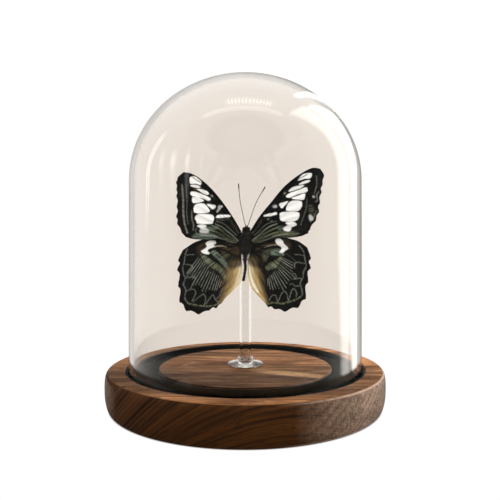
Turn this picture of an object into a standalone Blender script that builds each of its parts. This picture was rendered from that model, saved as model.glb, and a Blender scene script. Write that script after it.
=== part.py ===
"""A set butterfly under a glass dome, on a turned walnut base.

The base is one piece of walnut with a ring groove cut in its top. The groove is lined with
black felt, and the dome stands in it. A clear tube stands in a clear round foot at the
centre, and the butterfly is fixed by its thorax to the front of the tube's top.

Metres, +Z up. The origin is the centre of the base's underside. The butterfly faces -Y.
"""

import math

import bmesh
import bpy
import numpy as np

MM = 0.001
TOUCH = 0.3  # mm, the gap left where one piece rests on another

# Walnut base, mm
BASE_HEIGHT = 18.2
BASE_RADIUS = 71.6  # at the fullest part of the rounded side
BASE_FULLEST_Z = 10.0
BASE_UNDERSIDE_RADIUS = 69.0
RIM_EDGE_RADIUS = 68.4  # where the flat top ends and the rounded edge begins
GROOVE_INNER_RADIUS = 44.9
GROOVE_OUTER_RADIUS = 61.7
GROOVE_DEPTH = 5.5
EDGE_CHAMFER = 0.5
BASE_STEPS = 64

# Felt lining of the groove, mm
FELT = 0.8
FELT_TOP_BELOW_RIM = 0.6

# Glass dome, mm
DOME_RADIUS = 60.0
DOME_APEX_Z = 168.9
DOME_SHOULDER_Z = 114.2  # where the straight wall turns into the cap
DOME_WALL = 2.5
DOME_RIM_ROUNDING = 0.6
DOME_CAP_POINTS = 8
DOME_STEPS = 56

# Clear stem, mm
TUBE_RADIUS = 3.1
TUBE_WALL = 1.0
TUBE_TOP_Z = 82.0
TUBE_STEPS = 20
FOOT_RADIUS = 9.4
FOOT_HEIGHT = 4.0
FOOT_COLLAR_RADIUS = 3.9
FOOT_NECK_RADIUS = 5.3
FOOT_SHOULDER_RADIUS = 8.5
FOOT_UNDERSIDE_RADIUS = 9.1
# Heights of the neck, the shoulder and the widest part, as shares of the foot's height
FOOT_NECK_SHARE = 0.6
FOOT_SHOULDER_SHARE = 0.33
FOOT_WIDEST_SHARE = 0.17
FOOT_STEPS = 28

# Butterfly, mm
BODY_Y = -6.3  # middle plane of the thorax
THORAX_DEPTH_SHARE = 0.88  # depth of a body ring over its width
BODY_SIDES = 14
FOREWING_Y = -7.5
HINDWING_Y = -6.35
WING_THICKNESS = 0.35
WING_LIFT = 1.2  # how far the wing tips stand forward of their roots
WING_HALF_SPAN = 36.0
VEIN_RELIEF = 0.22
WING_ROWS = 6  # from the root to the outer margin
PLEAT_ROOT_POWER = 0.7  # below 1 the pleats are deepest nearer the root
NOTCH_PLACE = 0.35  # share of the way from one vein end to the next
FULL_NOTCH_SPACING = 4.0  # vein ends closer together than this have shallower notches
ANTENNA_RADIUS = 0.2
ANTENNA_CLUB_SHARE = 1.9
ANTENNA_POINTS = 8
LEG_RADIUS = 0.24
LEG_TOE_SHARE = 0.6
LEG_POINTS = 9
LIMB_BODY_SHARE = 0.75  # share of a limb that keeps its thickness before the club or toe

# Smoothness
CURVE_SAMPLES = 20  # per stretch, before a curve is spaced evenly
TURNED_SHARP_DEGREES = 35.0
GROWN_SHARP_DEGREES = 60.0

# Rings of the body from the palps down to the tip of the abdomen: height, centre x, centre y
# and half width
BODY_RINGS = (
    (91.6, 0.6, -6.8, 0.4),
    (91.2, 0.6, -6.8, 0.75),
    (90.6, 0.6, -6.6, 1.15),
    (90.0, 0.6, -6.4, 1.9),
    (89.3, 0.5, -6.3, 2.05),
    (88.6, 0.4, BODY_Y, 1.55),
    (88.1, 0.4, BODY_Y, 1.6),
    (87.6, 0.3, BODY_Y, 2.4),
    (85.3, 0.2, BODY_Y, 3.1),
    (82.3, 0.2, BODY_Y, 3.25),
    (79.2, 0.1, BODY_Y, 2.85),
    (76.7, 0.0, -6.6, 1.9),
    (74.6, -0.1, -7.2, 1.15),
    (73.0, -0.2, -7.6, 0.7),
    (69.9, 0.05, -7.7, 0.62),
    (66.3, -0.4, -7.7, 0.6),
    (63.6, -0.9, -7.7, 0.65),
    (62.9, -1.0, -7.7, 0.4),
)

# Wing outlines as (x, z). The front edge runs from the hinge to the tip, the crests are the
# vein ends down the scalloped outer margin, and the rear edge runs back to the hinge.
WINGS = {
    "forewing_left": {
        "front": ((-2.9, 88.7), (-6.0, 95.1), (-11.6, 103.2), (-17.2, 109.9),
                  (-22.9, 115.0), (-27.6, 117.7), (-31.6, 118.4)),
        "crests": ((-31.6, 118.4), (-34.6, 115.6), (-35.4, 113.0), (-35.2, 109.4),
                   (-35.2, 106.0), (-35.0, 100.4), (-35.3, 95.6), (-34.7, 91.7),
                   (-32.3, 87.2), (-30.6, 85.4)),
        "rear": ((-30.6, 85.4), (-27.1, 84.4), (-22.3, 84.0), (-15.3, 83.6),
                 (-8.7, 82.5), (-3.9, 81.9)),
        "notch": 0.7,
        "plane": FOREWING_Y,
    },
    "forewing_right": {
        "front": ((3.3, 89.0), (7.3, 95.9), (13.5, 103.5), (19.9, 111.1),
                  (27.3, 117.0), (34.0, 120.5), (38.2, 120.1)),
        "crests": ((38.2, 120.1), (40.2, 116.4), (39.4, 111.8), (38.9, 107.8),
                   (38.1, 102.6), (37.6, 97.9), (35.9, 93.4), (32.9, 88.9),
                   (32.1, 87.2), (29.8, 86.2)),
        "rear": ((29.8, 86.2), (27.0, 85.5), (21.9, 84.9), (17.1, 84.9),
                 (9.5, 82.7), (4.3, 81.9)),
        "notch": 0.9,
        "plane": FOREWING_Y,
    },
    "hindwing_left": {
        "front": ((-4.0, 82.0), (-9.0, 84.6), (-16.0, 85.6), (-22.6, 83.9),
                  (-26.9, 82.2), (-32.1, 78.6)),
        "crests": ((-32.1, 78.6), (-34.5, 73.3), (-35.0, 68.2), (-34.4, 60.0),
                   (-33.7, 51.9), (-30.1, 47.4), (-23.7, 45.7), (-18.5, 47.7),
                   (-14.8, 48.9), (-12.2, 51.3)),
        "rear": ((-12.2, 51.3), (-9.6, 54.8), (-4.4, 59.4), (-2.4, 61.9),
                 (-1.6, 68.0), (-2.3, 73.0), (-3.4, 77.0)),
        "notch": 1.3,
        "plane": HINDWING_Y,
    },
    "hindwing_right": {
        "front": ((4.4, 82.0), (9.0, 84.6), (16.0, 85.9), (21.8, 84.8),
                  (27.2, 83.2), (31.7, 80.1)),
        "crests": ((31.7, 80.1), (33.7, 74.3), (33.5, 69.1), (32.2, 62.0),
                   (30.9, 53.5), (26.8, 48.9), (20.1, 47.0), (14.9, 48.3),
                   (11.7, 49.4), (10.0, 51.7)),
        "rear": ((10.0, 51.7), (5.4, 56.7), (3.0, 59.6), (1.1, 64.5),
                 (0.9, 70.0), (1.8, 74.0), (3.6, 77.0)),
        "notch": 1.3,
        "plane": HINDWING_Y,
    },
}

ANTENNAE = {
    "antenna_left": ((0.1, -7.6, 91.4), (-2.45, -8.2, 102.6), (-3.5, -8.6, 112.6)),
    "antenna_right": ((1.2, -7.6, 91.3), (5.45, -8.2, 102.6), (10.2, -8.6, 111.0)),
}

# Legs folded against the underside, given for the right side: root, knee, ankle and toe
LEGS = {
    "leg_middle": ((2.9, -3.6, 84.0), (5.0, -3.9, 80.8), (3.8, -4.1, 75.0), (4.3, -4.2, 70.4)),
    "leg_hind": ((2.9, -3.1, 80.6), (6.2, -2.3, 77.2), (5.2, -1.8, 69.5), (6.2, -1.9, 63.6)),
}

COLOURS = {
    "walnut": ((0.16, 0.075, 0.035), 0.5),
    "black_felt": ((0.008, 0.008, 0.008), 0.95),
    "clear_glass": ((0.95, 0.93, 0.9), 0.03),
    "clear_stem": ((0.95, 0.95, 0.94), 0.05),
    "dark_wing": ((0.03, 0.032, 0.022), 0.65),
    "dark_body": ((0.012, 0.011, 0.01), 0.8),
}
GLASS_IOR = 1.47


def clear_scene():
    """Remove every object that is already in the scene."""
    for old in list(bpy.data.objects):
        bpy.data.objects.remove(old, do_unlink=True)


def make_material(name, finish, clear=False):
    """One Principled material from a colour, a roughness and whether it is see-through."""
    colour, roughness = COLOURS[finish]
    material = bpy.data.materials.new(name + "_" + finish)
    material.use_nodes = True
    shader = material.node_tree.nodes["Principled BSDF"]
    shader.inputs["Base Color"].default_value = (*colour, 1.0)
    shader.inputs["Roughness"].default_value = roughness
    shader.inputs["Metallic"].default_value = 0.0
    if clear:
        shader.inputs["Transmission Weight"].default_value = 1.0
        shader.inputs["IOR"].default_value = GLASS_IOR
    material.diffuse_color = (*colour, 1.0)
    return material


def add_object(name, mesh, material, collection):
    """Put a mesh in the collection as an object with its own material."""
    obj = bpy.data.objects.new(name, mesh)
    obj.data.materials.clear()
    obj.data.materials.append(material)
    collection.objects.link(obj)
    return obj


def baked(obj, name, material, collection, sharp_degrees):
    """Replace an object by its evaluated mesh, welded and shaded smooth."""
    graph = bpy.context.evaluated_depsgraph_get()
    mesh = bpy.data.meshes.new_from_object(obj.evaluated_get(graph))
    mesh.name = name
    place = obj.matrix_world.copy()
    bpy.data.objects.remove(obj, do_unlink=True)
    shape = bmesh.new()
    shape.from_mesh(mesh)
    bmesh.ops.remove_doubles(shape, verts=shape.verts, dist=0.01 * MM)
    shape.to_mesh(mesh)
    shape.free()
    mesh.shade_smooth()
    mesh.set_sharp_from_angle(angle=math.radians(sharp_degrees))
    result = add_object(name, mesh, material, collection)
    result.matrix_world = place
    return result


def turned(name, profile, closed, steps, material, collection):
    """Turn a profile of (radius, height) points about the Z axis with a Screw modifier."""
    count = len(profile)
    points = [(radius * MM, 0.0, height * MM) for radius, height in profile]
    edges = [(i, i + 1) for i in range(count - 1)]
    if closed:
        edges.append((count - 1, 0))
    mesh = bpy.data.meshes.new(name)
    mesh.from_pydata(points, edges, [])
    obj = add_object(name, mesh, material, collection)
    screw = obj.modifiers.new("turn", "SCREW")
    screw.axis = "Z"
    screw.angle = math.tau
    screw.steps = steps
    screw.render_steps = steps
    screw.use_merge_vertices = True
    screw.merge_threshold = 0.01 * MM
    bpy.context.view_layer.update()
    return baked(obj, name, material, collection, TURNED_SHARP_DEGREES)


def arc(centre, radii, start_degrees, end_degrees, count):
    """Points along part of an ellipse, from one angle to another, both ends included."""
    angles = np.radians(np.linspace(start_degrees, end_degrees, count + 1))
    across = centre[0] + radii[0] * np.cos(angles)
    up = centre[1] + radii[1] * np.sin(angles)
    return [(float(r), float(z)) for r, z in zip(across, up)]


def make_base(collection):
    """Turned walnut disc: flat rim, ring groove, centre disc flush with the rim."""
    top = BASE_HEIGHT
    floor = BASE_HEIGHT - GROOVE_DEPTH
    edge = EDGE_CHAMFER
    profile = [
        (0.0, top),
        (GROOVE_INNER_RADIUS - edge, top),
        (GROOVE_INNER_RADIUS, top - edge),
        (GROOVE_INNER_RADIUS, floor),
        (GROOVE_OUTER_RADIUS, floor),
        (GROOVE_OUTER_RADIUS, top - edge),
        (GROOVE_OUTER_RADIUS + edge, top),
    ]
    side = (BASE_RADIUS - RIM_EDGE_RADIUS, BASE_HEIGHT - BASE_FULLEST_Z)
    profile += arc((RIM_EDGE_RADIUS, BASE_FULLEST_Z), side, 90.0, 0.0, 4)
    under = (BASE_RADIUS - BASE_UNDERSIDE_RADIUS, BASE_FULLEST_Z)
    profile += arc((BASE_UNDERSIDE_RADIUS, BASE_FULLEST_Z), under, 0.0, -90.0, 3)[1:]
    profile.append((0.0, 0.0))
    material = make_material("base", "walnut")
    return turned("base", profile, False, BASE_STEPS, material, collection)


def make_felt(collection):
    """Black felt channel that lines the floor and both walls of the groove."""
    inner = GROOVE_INNER_RADIUS + TOUCH
    outer = GROOVE_OUTER_RADIUS - TOUCH
    bottom = BASE_HEIGHT - GROOVE_DEPTH + TOUCH
    top = BASE_HEIGHT - FELT_TOP_BELOW_RIM
    profile = [
        (inner, top),
        (inner + FELT, top),
        (inner + FELT, bottom + FELT),
        (outer - FELT, bottom + FELT),
        (outer - FELT, top),
        (outer, top),
        (outer, bottom),
        (inner, bottom),
    ]
    material = make_material("groove_felt", "black_felt")
    return turned("groove_felt", profile, True, BASE_STEPS, material, collection)


def make_dome(collection):
    """Glass dome: straight wall under an elliptical cap, with a rounded lower rim."""
    foot = BASE_HEIGHT - GROOVE_DEPTH + TOUCH + FELT + TOUCH
    cap = DOME_APEX_Z - DOME_SHOULDER_Z
    centre = (0.0, DOME_SHOULDER_Z)
    inside = DOME_RADIUS - DOME_WALL
    rounding = DOME_RIM_ROUNDING
    profile = arc(centre, (DOME_RADIUS, cap), 90.0, 0.0, DOME_CAP_POINTS)
    profile += [
        (DOME_RADIUS, foot + rounding),
        (DOME_RADIUS - rounding, foot),
        (inside + rounding, foot),
        (inside, foot + rounding),
    ]
    profile += arc(centre, (inside, cap - DOME_WALL), 0.0, 90.0, DOME_CAP_POINTS)
    profile[0] = (0.0, profile[0][1])
    profile[-1] = (0.0, profile[-1][1])
    material = make_material("glass_dome", "clear_glass", clear=True)
    return turned("glass_dome", profile, False, DOME_STEPS, material, collection)


def make_stem(collection):
    """Clear tube, and the low clear foot that it stands in."""
    bottom = BASE_HEIGHT + TOUCH
    bore = TUBE_RADIUS - TUBE_WALL
    tube = [(bore, TUBE_TOP_Z), (TUBE_RADIUS, TUBE_TOP_Z), (TUBE_RADIUS, bottom), (bore, bottom)]
    material = make_material("stem_tube", "clear_stem", clear=True)
    turned("stem_tube", tube, True, TUBE_STEPS, material, collection)
    hole = TUBE_RADIUS + TOUCH
    foot = [
        (hole, bottom + FOOT_HEIGHT),
        (FOOT_COLLAR_RADIUS, bottom + FOOT_HEIGHT),
        (FOOT_NECK_RADIUS, bottom + FOOT_NECK_SHARE * FOOT_HEIGHT),
        (FOOT_SHOULDER_RADIUS, bottom + FOOT_SHOULDER_SHARE * FOOT_HEIGHT),
        (FOOT_RADIUS, bottom + FOOT_WIDEST_SHARE * FOOT_HEIGHT),
        (FOOT_UNDERSIDE_RADIUS, bottom),
        (hole, bottom),
    ]
    material = make_material("stem_foot", "clear_stem", clear=True)
    turned("stem_foot", foot, True, FOOT_STEPS, material, collection)


def curve_points(points, count):
    """Evenly spaced points on a smooth (Catmull-Rom) curve through the given points."""
    knots = np.array(points, dtype=float)
    first = 2.0 * knots[0] - knots[1]
    last = 2.0 * knots[-1] - knots[-2]
    padded = np.vstack([first, knots, last])
    fine = []
    for a, b, c, d in zip(padded[:-3], padded[1:-2], padded[2:-1], padded[3:]):
        t = np.linspace(0.0, 1.0, CURVE_SAMPLES, endpoint=False)[:, None]
        fine.append(0.5 * (2 * b + (c - a) * t + (2 * a - 5 * b + 4 * c - d) * t**2
                           + (3 * b - a - 3 * c + d) * t**3))
    fine = np.vstack([*fine, knots[-1:]])
    length = np.concatenate([[0.0], np.cumsum(np.linalg.norm(np.diff(fine, axis=0), axis=1))])
    wanted = np.linspace(0.0, length[-1], count + 1)
    return np.stack([np.interp(wanted, length, column) for column in fine.T], axis=1)


def scalloped(crests, root, depth):
    """The outer margin: vein ends with a notch between each two, cut in towards the root."""
    margin = []
    for start, end in zip(crests[:-1], crests[1:]):
        start = np.array(start)
        end = np.array(end)
        notch = start + NOTCH_PLACE * (end - start)
        inwards = root - notch
        cut = depth * min(1.0, np.linalg.norm(end - start) / FULL_NOTCH_SPACING)
        margin += [start, notch + cut * inwards / np.linalg.norm(inwards)]
    margin.append(np.array(crests[-1]))
    return np.array(margin)


def make_wing(name, wing, collection):
    """A thin pleated sheet between the hinge, the front edge, the margin and the rear edge.

    It is a Coons patch: u runs from the hinge to the outer margin and v from the front edge
    to the rear edge. The veins, at every second column, stand proud of the cells between.
    """
    front = curve_points(wing["front"], WING_ROWS)
    rear = curve_points(wing["rear"][::-1], WING_ROWS)
    root = 0.5 * (front[0] + rear[0])
    margin = scalloped(wing["crests"], root, wing["notch"])
    columns = len(margin)
    u = np.linspace(0.0, 1.0, WING_ROWS + 1)[:, None, None]
    v = np.linspace(0.0, 1.0, columns)[None, :, None]
    hinge = front[0] + v * (rear[0] - front[0])
    corners = ((1 - u) * ((1 - v) * front[0] + v * rear[0])
               + u * ((1 - v) * front[-1] + v * rear[-1]))
    flat = ((1 - v) * front[:, None] + v * rear[:, None]
            + (1 - u) * hinge + u * margin[None] - corners)
    is_vein = np.where(np.arange(columns) % 2 == 0, 1.0, -1.0)[None, :]
    pleat = VEIN_RELIEF * is_vein * np.sin(math.pi * u[..., 0] ** PLEAT_ROOT_POWER)
    lift = WING_LIFT * (flat[..., 0] / WING_HALF_SPAN) ** 2
    depth = wing["plane"] - lift - pleat
    points = np.stack([flat[..., 0], depth, flat[..., 1]], axis=-1).reshape(-1, 3) * MM
    corner = np.arange(WING_ROWS)[:, None] * columns + np.arange(columns - 1)[None, :]
    faces = np.stack([corner, corner + 1, corner + columns + 1, corner + columns], axis=-1)
    mesh = bpy.data.meshes.new(name)
    mesh.from_pydata(points.tolist(), [], faces.reshape(-1, 4).tolist())
    material = make_material(name, "dark_wing")
    obj = add_object(name, mesh, material, collection)
    shell = obj.modifiers.new("thickness", "SOLIDIFY")
    shell.thickness = WING_THICKNESS * MM
    shell.offset = 0.0
    bpy.context.view_layer.update()
    wing_object = baked(obj, name, material, collection, GROWN_SHARP_DEGREES)
    face_outwards(wing_object.data)
    return wing_object


def face_outwards(mesh):
    """Make the faces of a closed mesh point out."""
    shape = bmesh.new()
    shape.from_mesh(mesh)
    bmesh.ops.recalc_face_normals(shape, faces=shape.faces)
    shape.to_mesh(mesh)
    shape.free()


def make_body(collection):
    """Head, thorax and the dried-up abdomen as one skin through elliptical rings."""
    rings = np.array(BODY_RINGS)
    turn = np.linspace(0.0, math.tau, BODY_SIDES, endpoint=False)[None, :]
    width = rings[:, 3:4]
    x = rings[:, 1:2] + width * np.cos(turn)
    y = rings[:, 2:3] + THORAX_DEPTH_SHARE * width * np.sin(turn)
    z = rings[:, 0:1] + 0.0 * turn
    points = np.stack([x, y, z], axis=-1).reshape(-1, 3) * MM
    faces = []
    for ring in range(len(rings) - 1):
        for side in range(BODY_SIDES):
            a = ring * BODY_SIDES + side
            b = ring * BODY_SIDES + (side + 1) % BODY_SIDES
            faces.append((a, b, b + BODY_SIDES, a + BODY_SIDES))
    last = (len(rings) - 1) * BODY_SIDES
    faces.append(tuple(range(BODY_SIDES)))
    faces.append(tuple(range(last, last + BODY_SIDES)))
    mesh = bpy.data.meshes.new("body")
    mesh.from_pydata(points.tolist(), [], faces)
    face_outwards(mesh)
    mesh.shade_smooth()
    mesh.set_sharp_from_angle(angle=math.radians(GROWN_SHARP_DEGREES))
    return add_object("body", mesh, make_material("body", "dark_body"), collection)


def make_wire(name, points, count, radius, thickening, collection):
    """A round limb: a bevelled curve with filled caps, thicker at its far end if asked."""
    curve = bpy.data.curves.new(name, "CURVE")
    curve.dimensions = "3D"
    curve.bevel_depth = radius * MM
    curve.bevel_resolution = 1
    curve.use_fill_caps = True
    spline = curve.splines.new("POLY")
    route = curve_points(points, count)
    spline.points.add(len(route) - 1)
    along = np.linspace(0.0, 1.0, count + 1)
    end_share = np.clip((along - LIMB_BODY_SHARE) / (1.0 - LIMB_BODY_SHARE), 0.0, 1.0)
    for i, place in enumerate(route):
        spline.points[i].co = (*(place * MM), 1.0)
        spline.points[i].radius = 1.0 + (thickening - 1.0) * end_share[i]
    material = make_material(name, "dark_body")
    obj = bpy.data.objects.new(name, curve)
    collection.objects.link(obj)
    bpy.context.view_layer.update()
    return baked(obj, name, material, collection, GROWN_SHARP_DEGREES)


def make_butterfly(collection):
    """Body, four wings, two antennae and the folded walking legs."""
    make_body(collection)
    for name, wing in WINGS.items():
        make_wing(name, wing, collection)
    for name, points in ANTENNAE.items():
        make_wire(name, points, ANTENNA_POINTS, ANTENNA_RADIUS, ANTENNA_CLUB_SHARE, collection)
    for name, points in LEGS.items():
        for side, sign in (("left", -1.0), ("right", 1.0)):
            route = [(sign * x, y, z) for x, y, z in points]
            make_wire(name + "_" + side, route, LEG_POINTS, LEG_RADIUS, LEG_TOE_SHARE, collection)


def main():
    clear_scene()
    collection = bpy.data.collections.new("butterfly_dome")
    bpy.context.scene.collection.children.link(collection)
    make_base(collection)
    make_felt(collection)
    make_dome(collection)
    make_stem(collection)
    make_butterfly(collection)


main()
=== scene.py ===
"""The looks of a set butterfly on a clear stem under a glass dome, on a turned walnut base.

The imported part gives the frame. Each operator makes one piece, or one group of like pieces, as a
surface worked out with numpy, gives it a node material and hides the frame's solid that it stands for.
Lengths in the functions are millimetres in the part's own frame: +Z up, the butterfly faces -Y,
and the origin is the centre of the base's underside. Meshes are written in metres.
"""

import math

import bpy
import numpy as np
from bpy.props import FloatProperty, FloatVectorProperty, IntProperty, PointerProperty
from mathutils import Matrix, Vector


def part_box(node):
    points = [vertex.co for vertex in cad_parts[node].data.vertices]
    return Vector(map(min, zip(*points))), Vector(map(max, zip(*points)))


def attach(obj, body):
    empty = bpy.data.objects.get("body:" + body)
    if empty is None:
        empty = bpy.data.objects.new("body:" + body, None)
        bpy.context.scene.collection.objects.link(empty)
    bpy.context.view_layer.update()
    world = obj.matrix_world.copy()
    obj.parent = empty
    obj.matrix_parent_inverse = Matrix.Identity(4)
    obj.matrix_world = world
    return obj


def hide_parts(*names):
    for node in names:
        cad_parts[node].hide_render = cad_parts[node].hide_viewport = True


bl_info = {
    "name": "Butterfly under a glass dome",
    "version": (1, 0, 0),
    "blender": (4, 5, 0),
    "location": "View3D > Sidebar > Butterfly dome",
    "description": "Makes a set butterfly under a glass dome on a walnut base, with its studio",
    "category": "Add Mesh",
}

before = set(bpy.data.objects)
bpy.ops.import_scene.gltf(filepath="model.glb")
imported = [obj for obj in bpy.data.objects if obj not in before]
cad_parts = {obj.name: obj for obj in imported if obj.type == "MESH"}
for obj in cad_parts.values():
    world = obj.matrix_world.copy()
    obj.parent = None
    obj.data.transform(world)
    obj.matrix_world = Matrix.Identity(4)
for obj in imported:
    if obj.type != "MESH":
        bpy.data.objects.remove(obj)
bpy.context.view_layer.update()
BODY = "root"
MM = 0.001


# Sizes read from the frame, mm


def node_box(name):
    """Lowest and highest corner of a node of the frame, in millimetres."""
    low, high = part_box(name)
    return np.array(low) / MM, np.array(high) / MM


_, BASE_HIGH = node_box("base")
FELT_LOW, FELT_HIGH = node_box("groove_felt")
DOME_LOW, DOME_HIGH = node_box("glass_dome")
TUBE_LOW, TUBE_HIGH = node_box("stem_tube")
FOOT_LOW, FOOT_HIGH = node_box("stem_foot")

BASE_RADIUS = BASE_HIGH[0]
BASE_TOP = BASE_HIGH[2]
BASE_FULLEST_Z = 10.0
BASE_UNDERSIDE_RADIUS = 69.0
RIM_EDGE_RADIUS = 68.4
GROOVE_INNER_RADIUS = 44.9
GROOVE_OUTER_RADIUS = 61.7
GROOVE_DEPTH = 5.5
EDGE_ROUNDING = 0.5
SHOULDER_POWER = 3.6

FELT = 0.8
FELT_INNER_RADIUS = GROOVE_INNER_RADIUS + 0.3
FELT_OUTER_RADIUS = FELT_HIGH[0]

DOME_RADIUS = DOME_HIGH[0]
DOME_APEX_Z = DOME_HIGH[2]
DOME_FOOT_Z = DOME_LOW[2]
DOME_SHOULDER_Z = 114.2
DOME_WALL = 2.5

TUBE_RADIUS = TUBE_HIGH[0]
TUBE_WALL = 1.0

# Rings of the body from the palps down to the tip of the abdomen: height, centre x, centre y
# and half width
BODY_RINGS = (
    (91.0, 0.6, -6.7, 0.0),
    (90.8, 0.6, -6.7, 0.7),
    (90.2, 0.6, -6.5, 1.2),
    (89.4, 0.5, -6.4, 1.45),
    (88.6, 0.4, -6.3, 1.4),
    (88.0, 0.4, -6.3, 1.65),
    (87.4, 0.3, -6.3, 2.4),
    (85.3, 0.2, -6.3, 2.9),
    (82.3, 0.2, -6.3, 3.0),
    (79.2, 0.1, -6.3, 2.6),
    (76.7, 0.0, -6.6, 1.75),
    (74.6, -0.1, -7.2, 1.05),
    (73.0, -0.2, -7.6, 0.80),
    (69.9, 0.05, -7.7, 0.74),
    (66.3, -0.4, -7.7, 0.72),
    (63.6, -0.9, -7.7, 0.76),
    (63.0, -1.0, -7.7, 0.58),
    (62.7, -1.0, -7.7, 0.0),
)
BODY_DEPTH_SHARE = 0.88

# Wing outlines as (x, z). The front edge runs from the hinge to the tip, the crests are the vein
# ends down the scalloped outer margin, and the rear edge runs back to the hinge.
FOREWING_Y = -7.5
HINDWING_Y = -6.35
WINGS = {
    "forewing_left": {
        "front": ((-2.1, 88.4), (-6.0, 95.1), (-11.6, 103.2), (-17.2, 109.9),
                  (-22.9, 115.0), (-27.6, 117.7), (-31.6, 118.4)),
        "crests": ((-31.6, 118.4), (-34.6, 115.6), (-35.4, 113.0), (-35.2, 109.4),
                   (-35.2, 106.0), (-35.0, 100.4), (-35.3, 95.6), (-34.7, 91.7),
                   (-32.3, 87.2), (-30.6, 85.4)),
        "rear": ((-30.6, 85.4), (-27.1, 84.4), (-22.3, 84.0), (-15.3, 83.6),
                 (-8.7, 82.5), (-2.6, 81.7)),
        "notch": 0.7,
        "plane": FOREWING_Y,
        "shape": 0.9,
    },
    "forewing_right": {
        "front": ((2.5, 88.5), (7.3, 95.9), (13.5, 103.5), (19.9, 111.1),
                  (27.3, 117.0), (34.0, 120.5), (38.2, 120.1)),
        "crests": ((38.2, 120.1), (40.2, 116.4), (39.4, 111.8), (38.9, 107.8),
                   (38.1, 102.6), (37.6, 97.9), (35.9, 93.4), (32.9, 88.9),
                   (32.1, 87.2), (29.8, 86.2)),
        "rear": ((29.8, 86.2), (27.0, 85.5), (21.9, 84.9), (17.1, 84.9),
                 (9.5, 82.7), (2.8, 81.7)),
        "notch": 0.9,
        "plane": FOREWING_Y,
        "shape": 0.9,
    },
    "hindwing_left": {
        "front": ((-2.6, 82.0), (-9.0, 84.6), (-16.0, 85.6), (-22.6, 83.9),
                  (-26.9, 82.2), (-32.1, 78.6)),
        "crests": ((-32.1, 78.6), (-34.5, 73.3), (-35.0, 68.2), (-34.4, 60.0),
                   (-33.7, 51.9), (-30.1, 47.4), (-23.7, 45.7), (-18.5, 47.7),
                   (-14.8, 48.9), (-12.2, 51.3)),
        "rear": ((-12.2, 51.3), (-9.6, 54.8), (-4.4, 59.4), (-2.4, 61.9),
                 (-1.6, 68.0), (-1.9, 73.0), (-2.2, 77.0)),
        "notch": 1.3,
        "plane": HINDWING_Y,
        "shape": 1.9,
    },
    "hindwing_right": {
        "front": ((2.8, 82.0), (9.0, 84.6), (16.0, 85.9), (21.8, 84.8),
                  (27.2, 83.2), (31.7, 80.1)),
        "crests": ((31.7, 80.1), (33.7, 74.3), (33.5, 69.1), (32.2, 62.0),
                   (30.9, 53.5), (26.8, 48.9), (20.1, 47.0), (14.9, 48.3),
                   (11.7, 49.4), (10.0, 51.7)),
        "rear": ((10.0, 51.7), (5.4, 56.7), (3.0, 59.6), (1.1, 64.5),
                 (0.9, 70.0), (1.5, 74.0), (2.3, 77.0)),
        "notch": 1.3,
        "plane": HINDWING_Y,
        "shape": 1.9,
    },
}
WING_HALF_SPAN = 36.0
WING_LIFT = 1.2
NOTCH_PEAK_POWER = 0.66  # puts the deepest point of a notch at about a third of its width
NOTCH_ROUND_POWER = 1.7  # rounds the lobes between the notches

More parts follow.
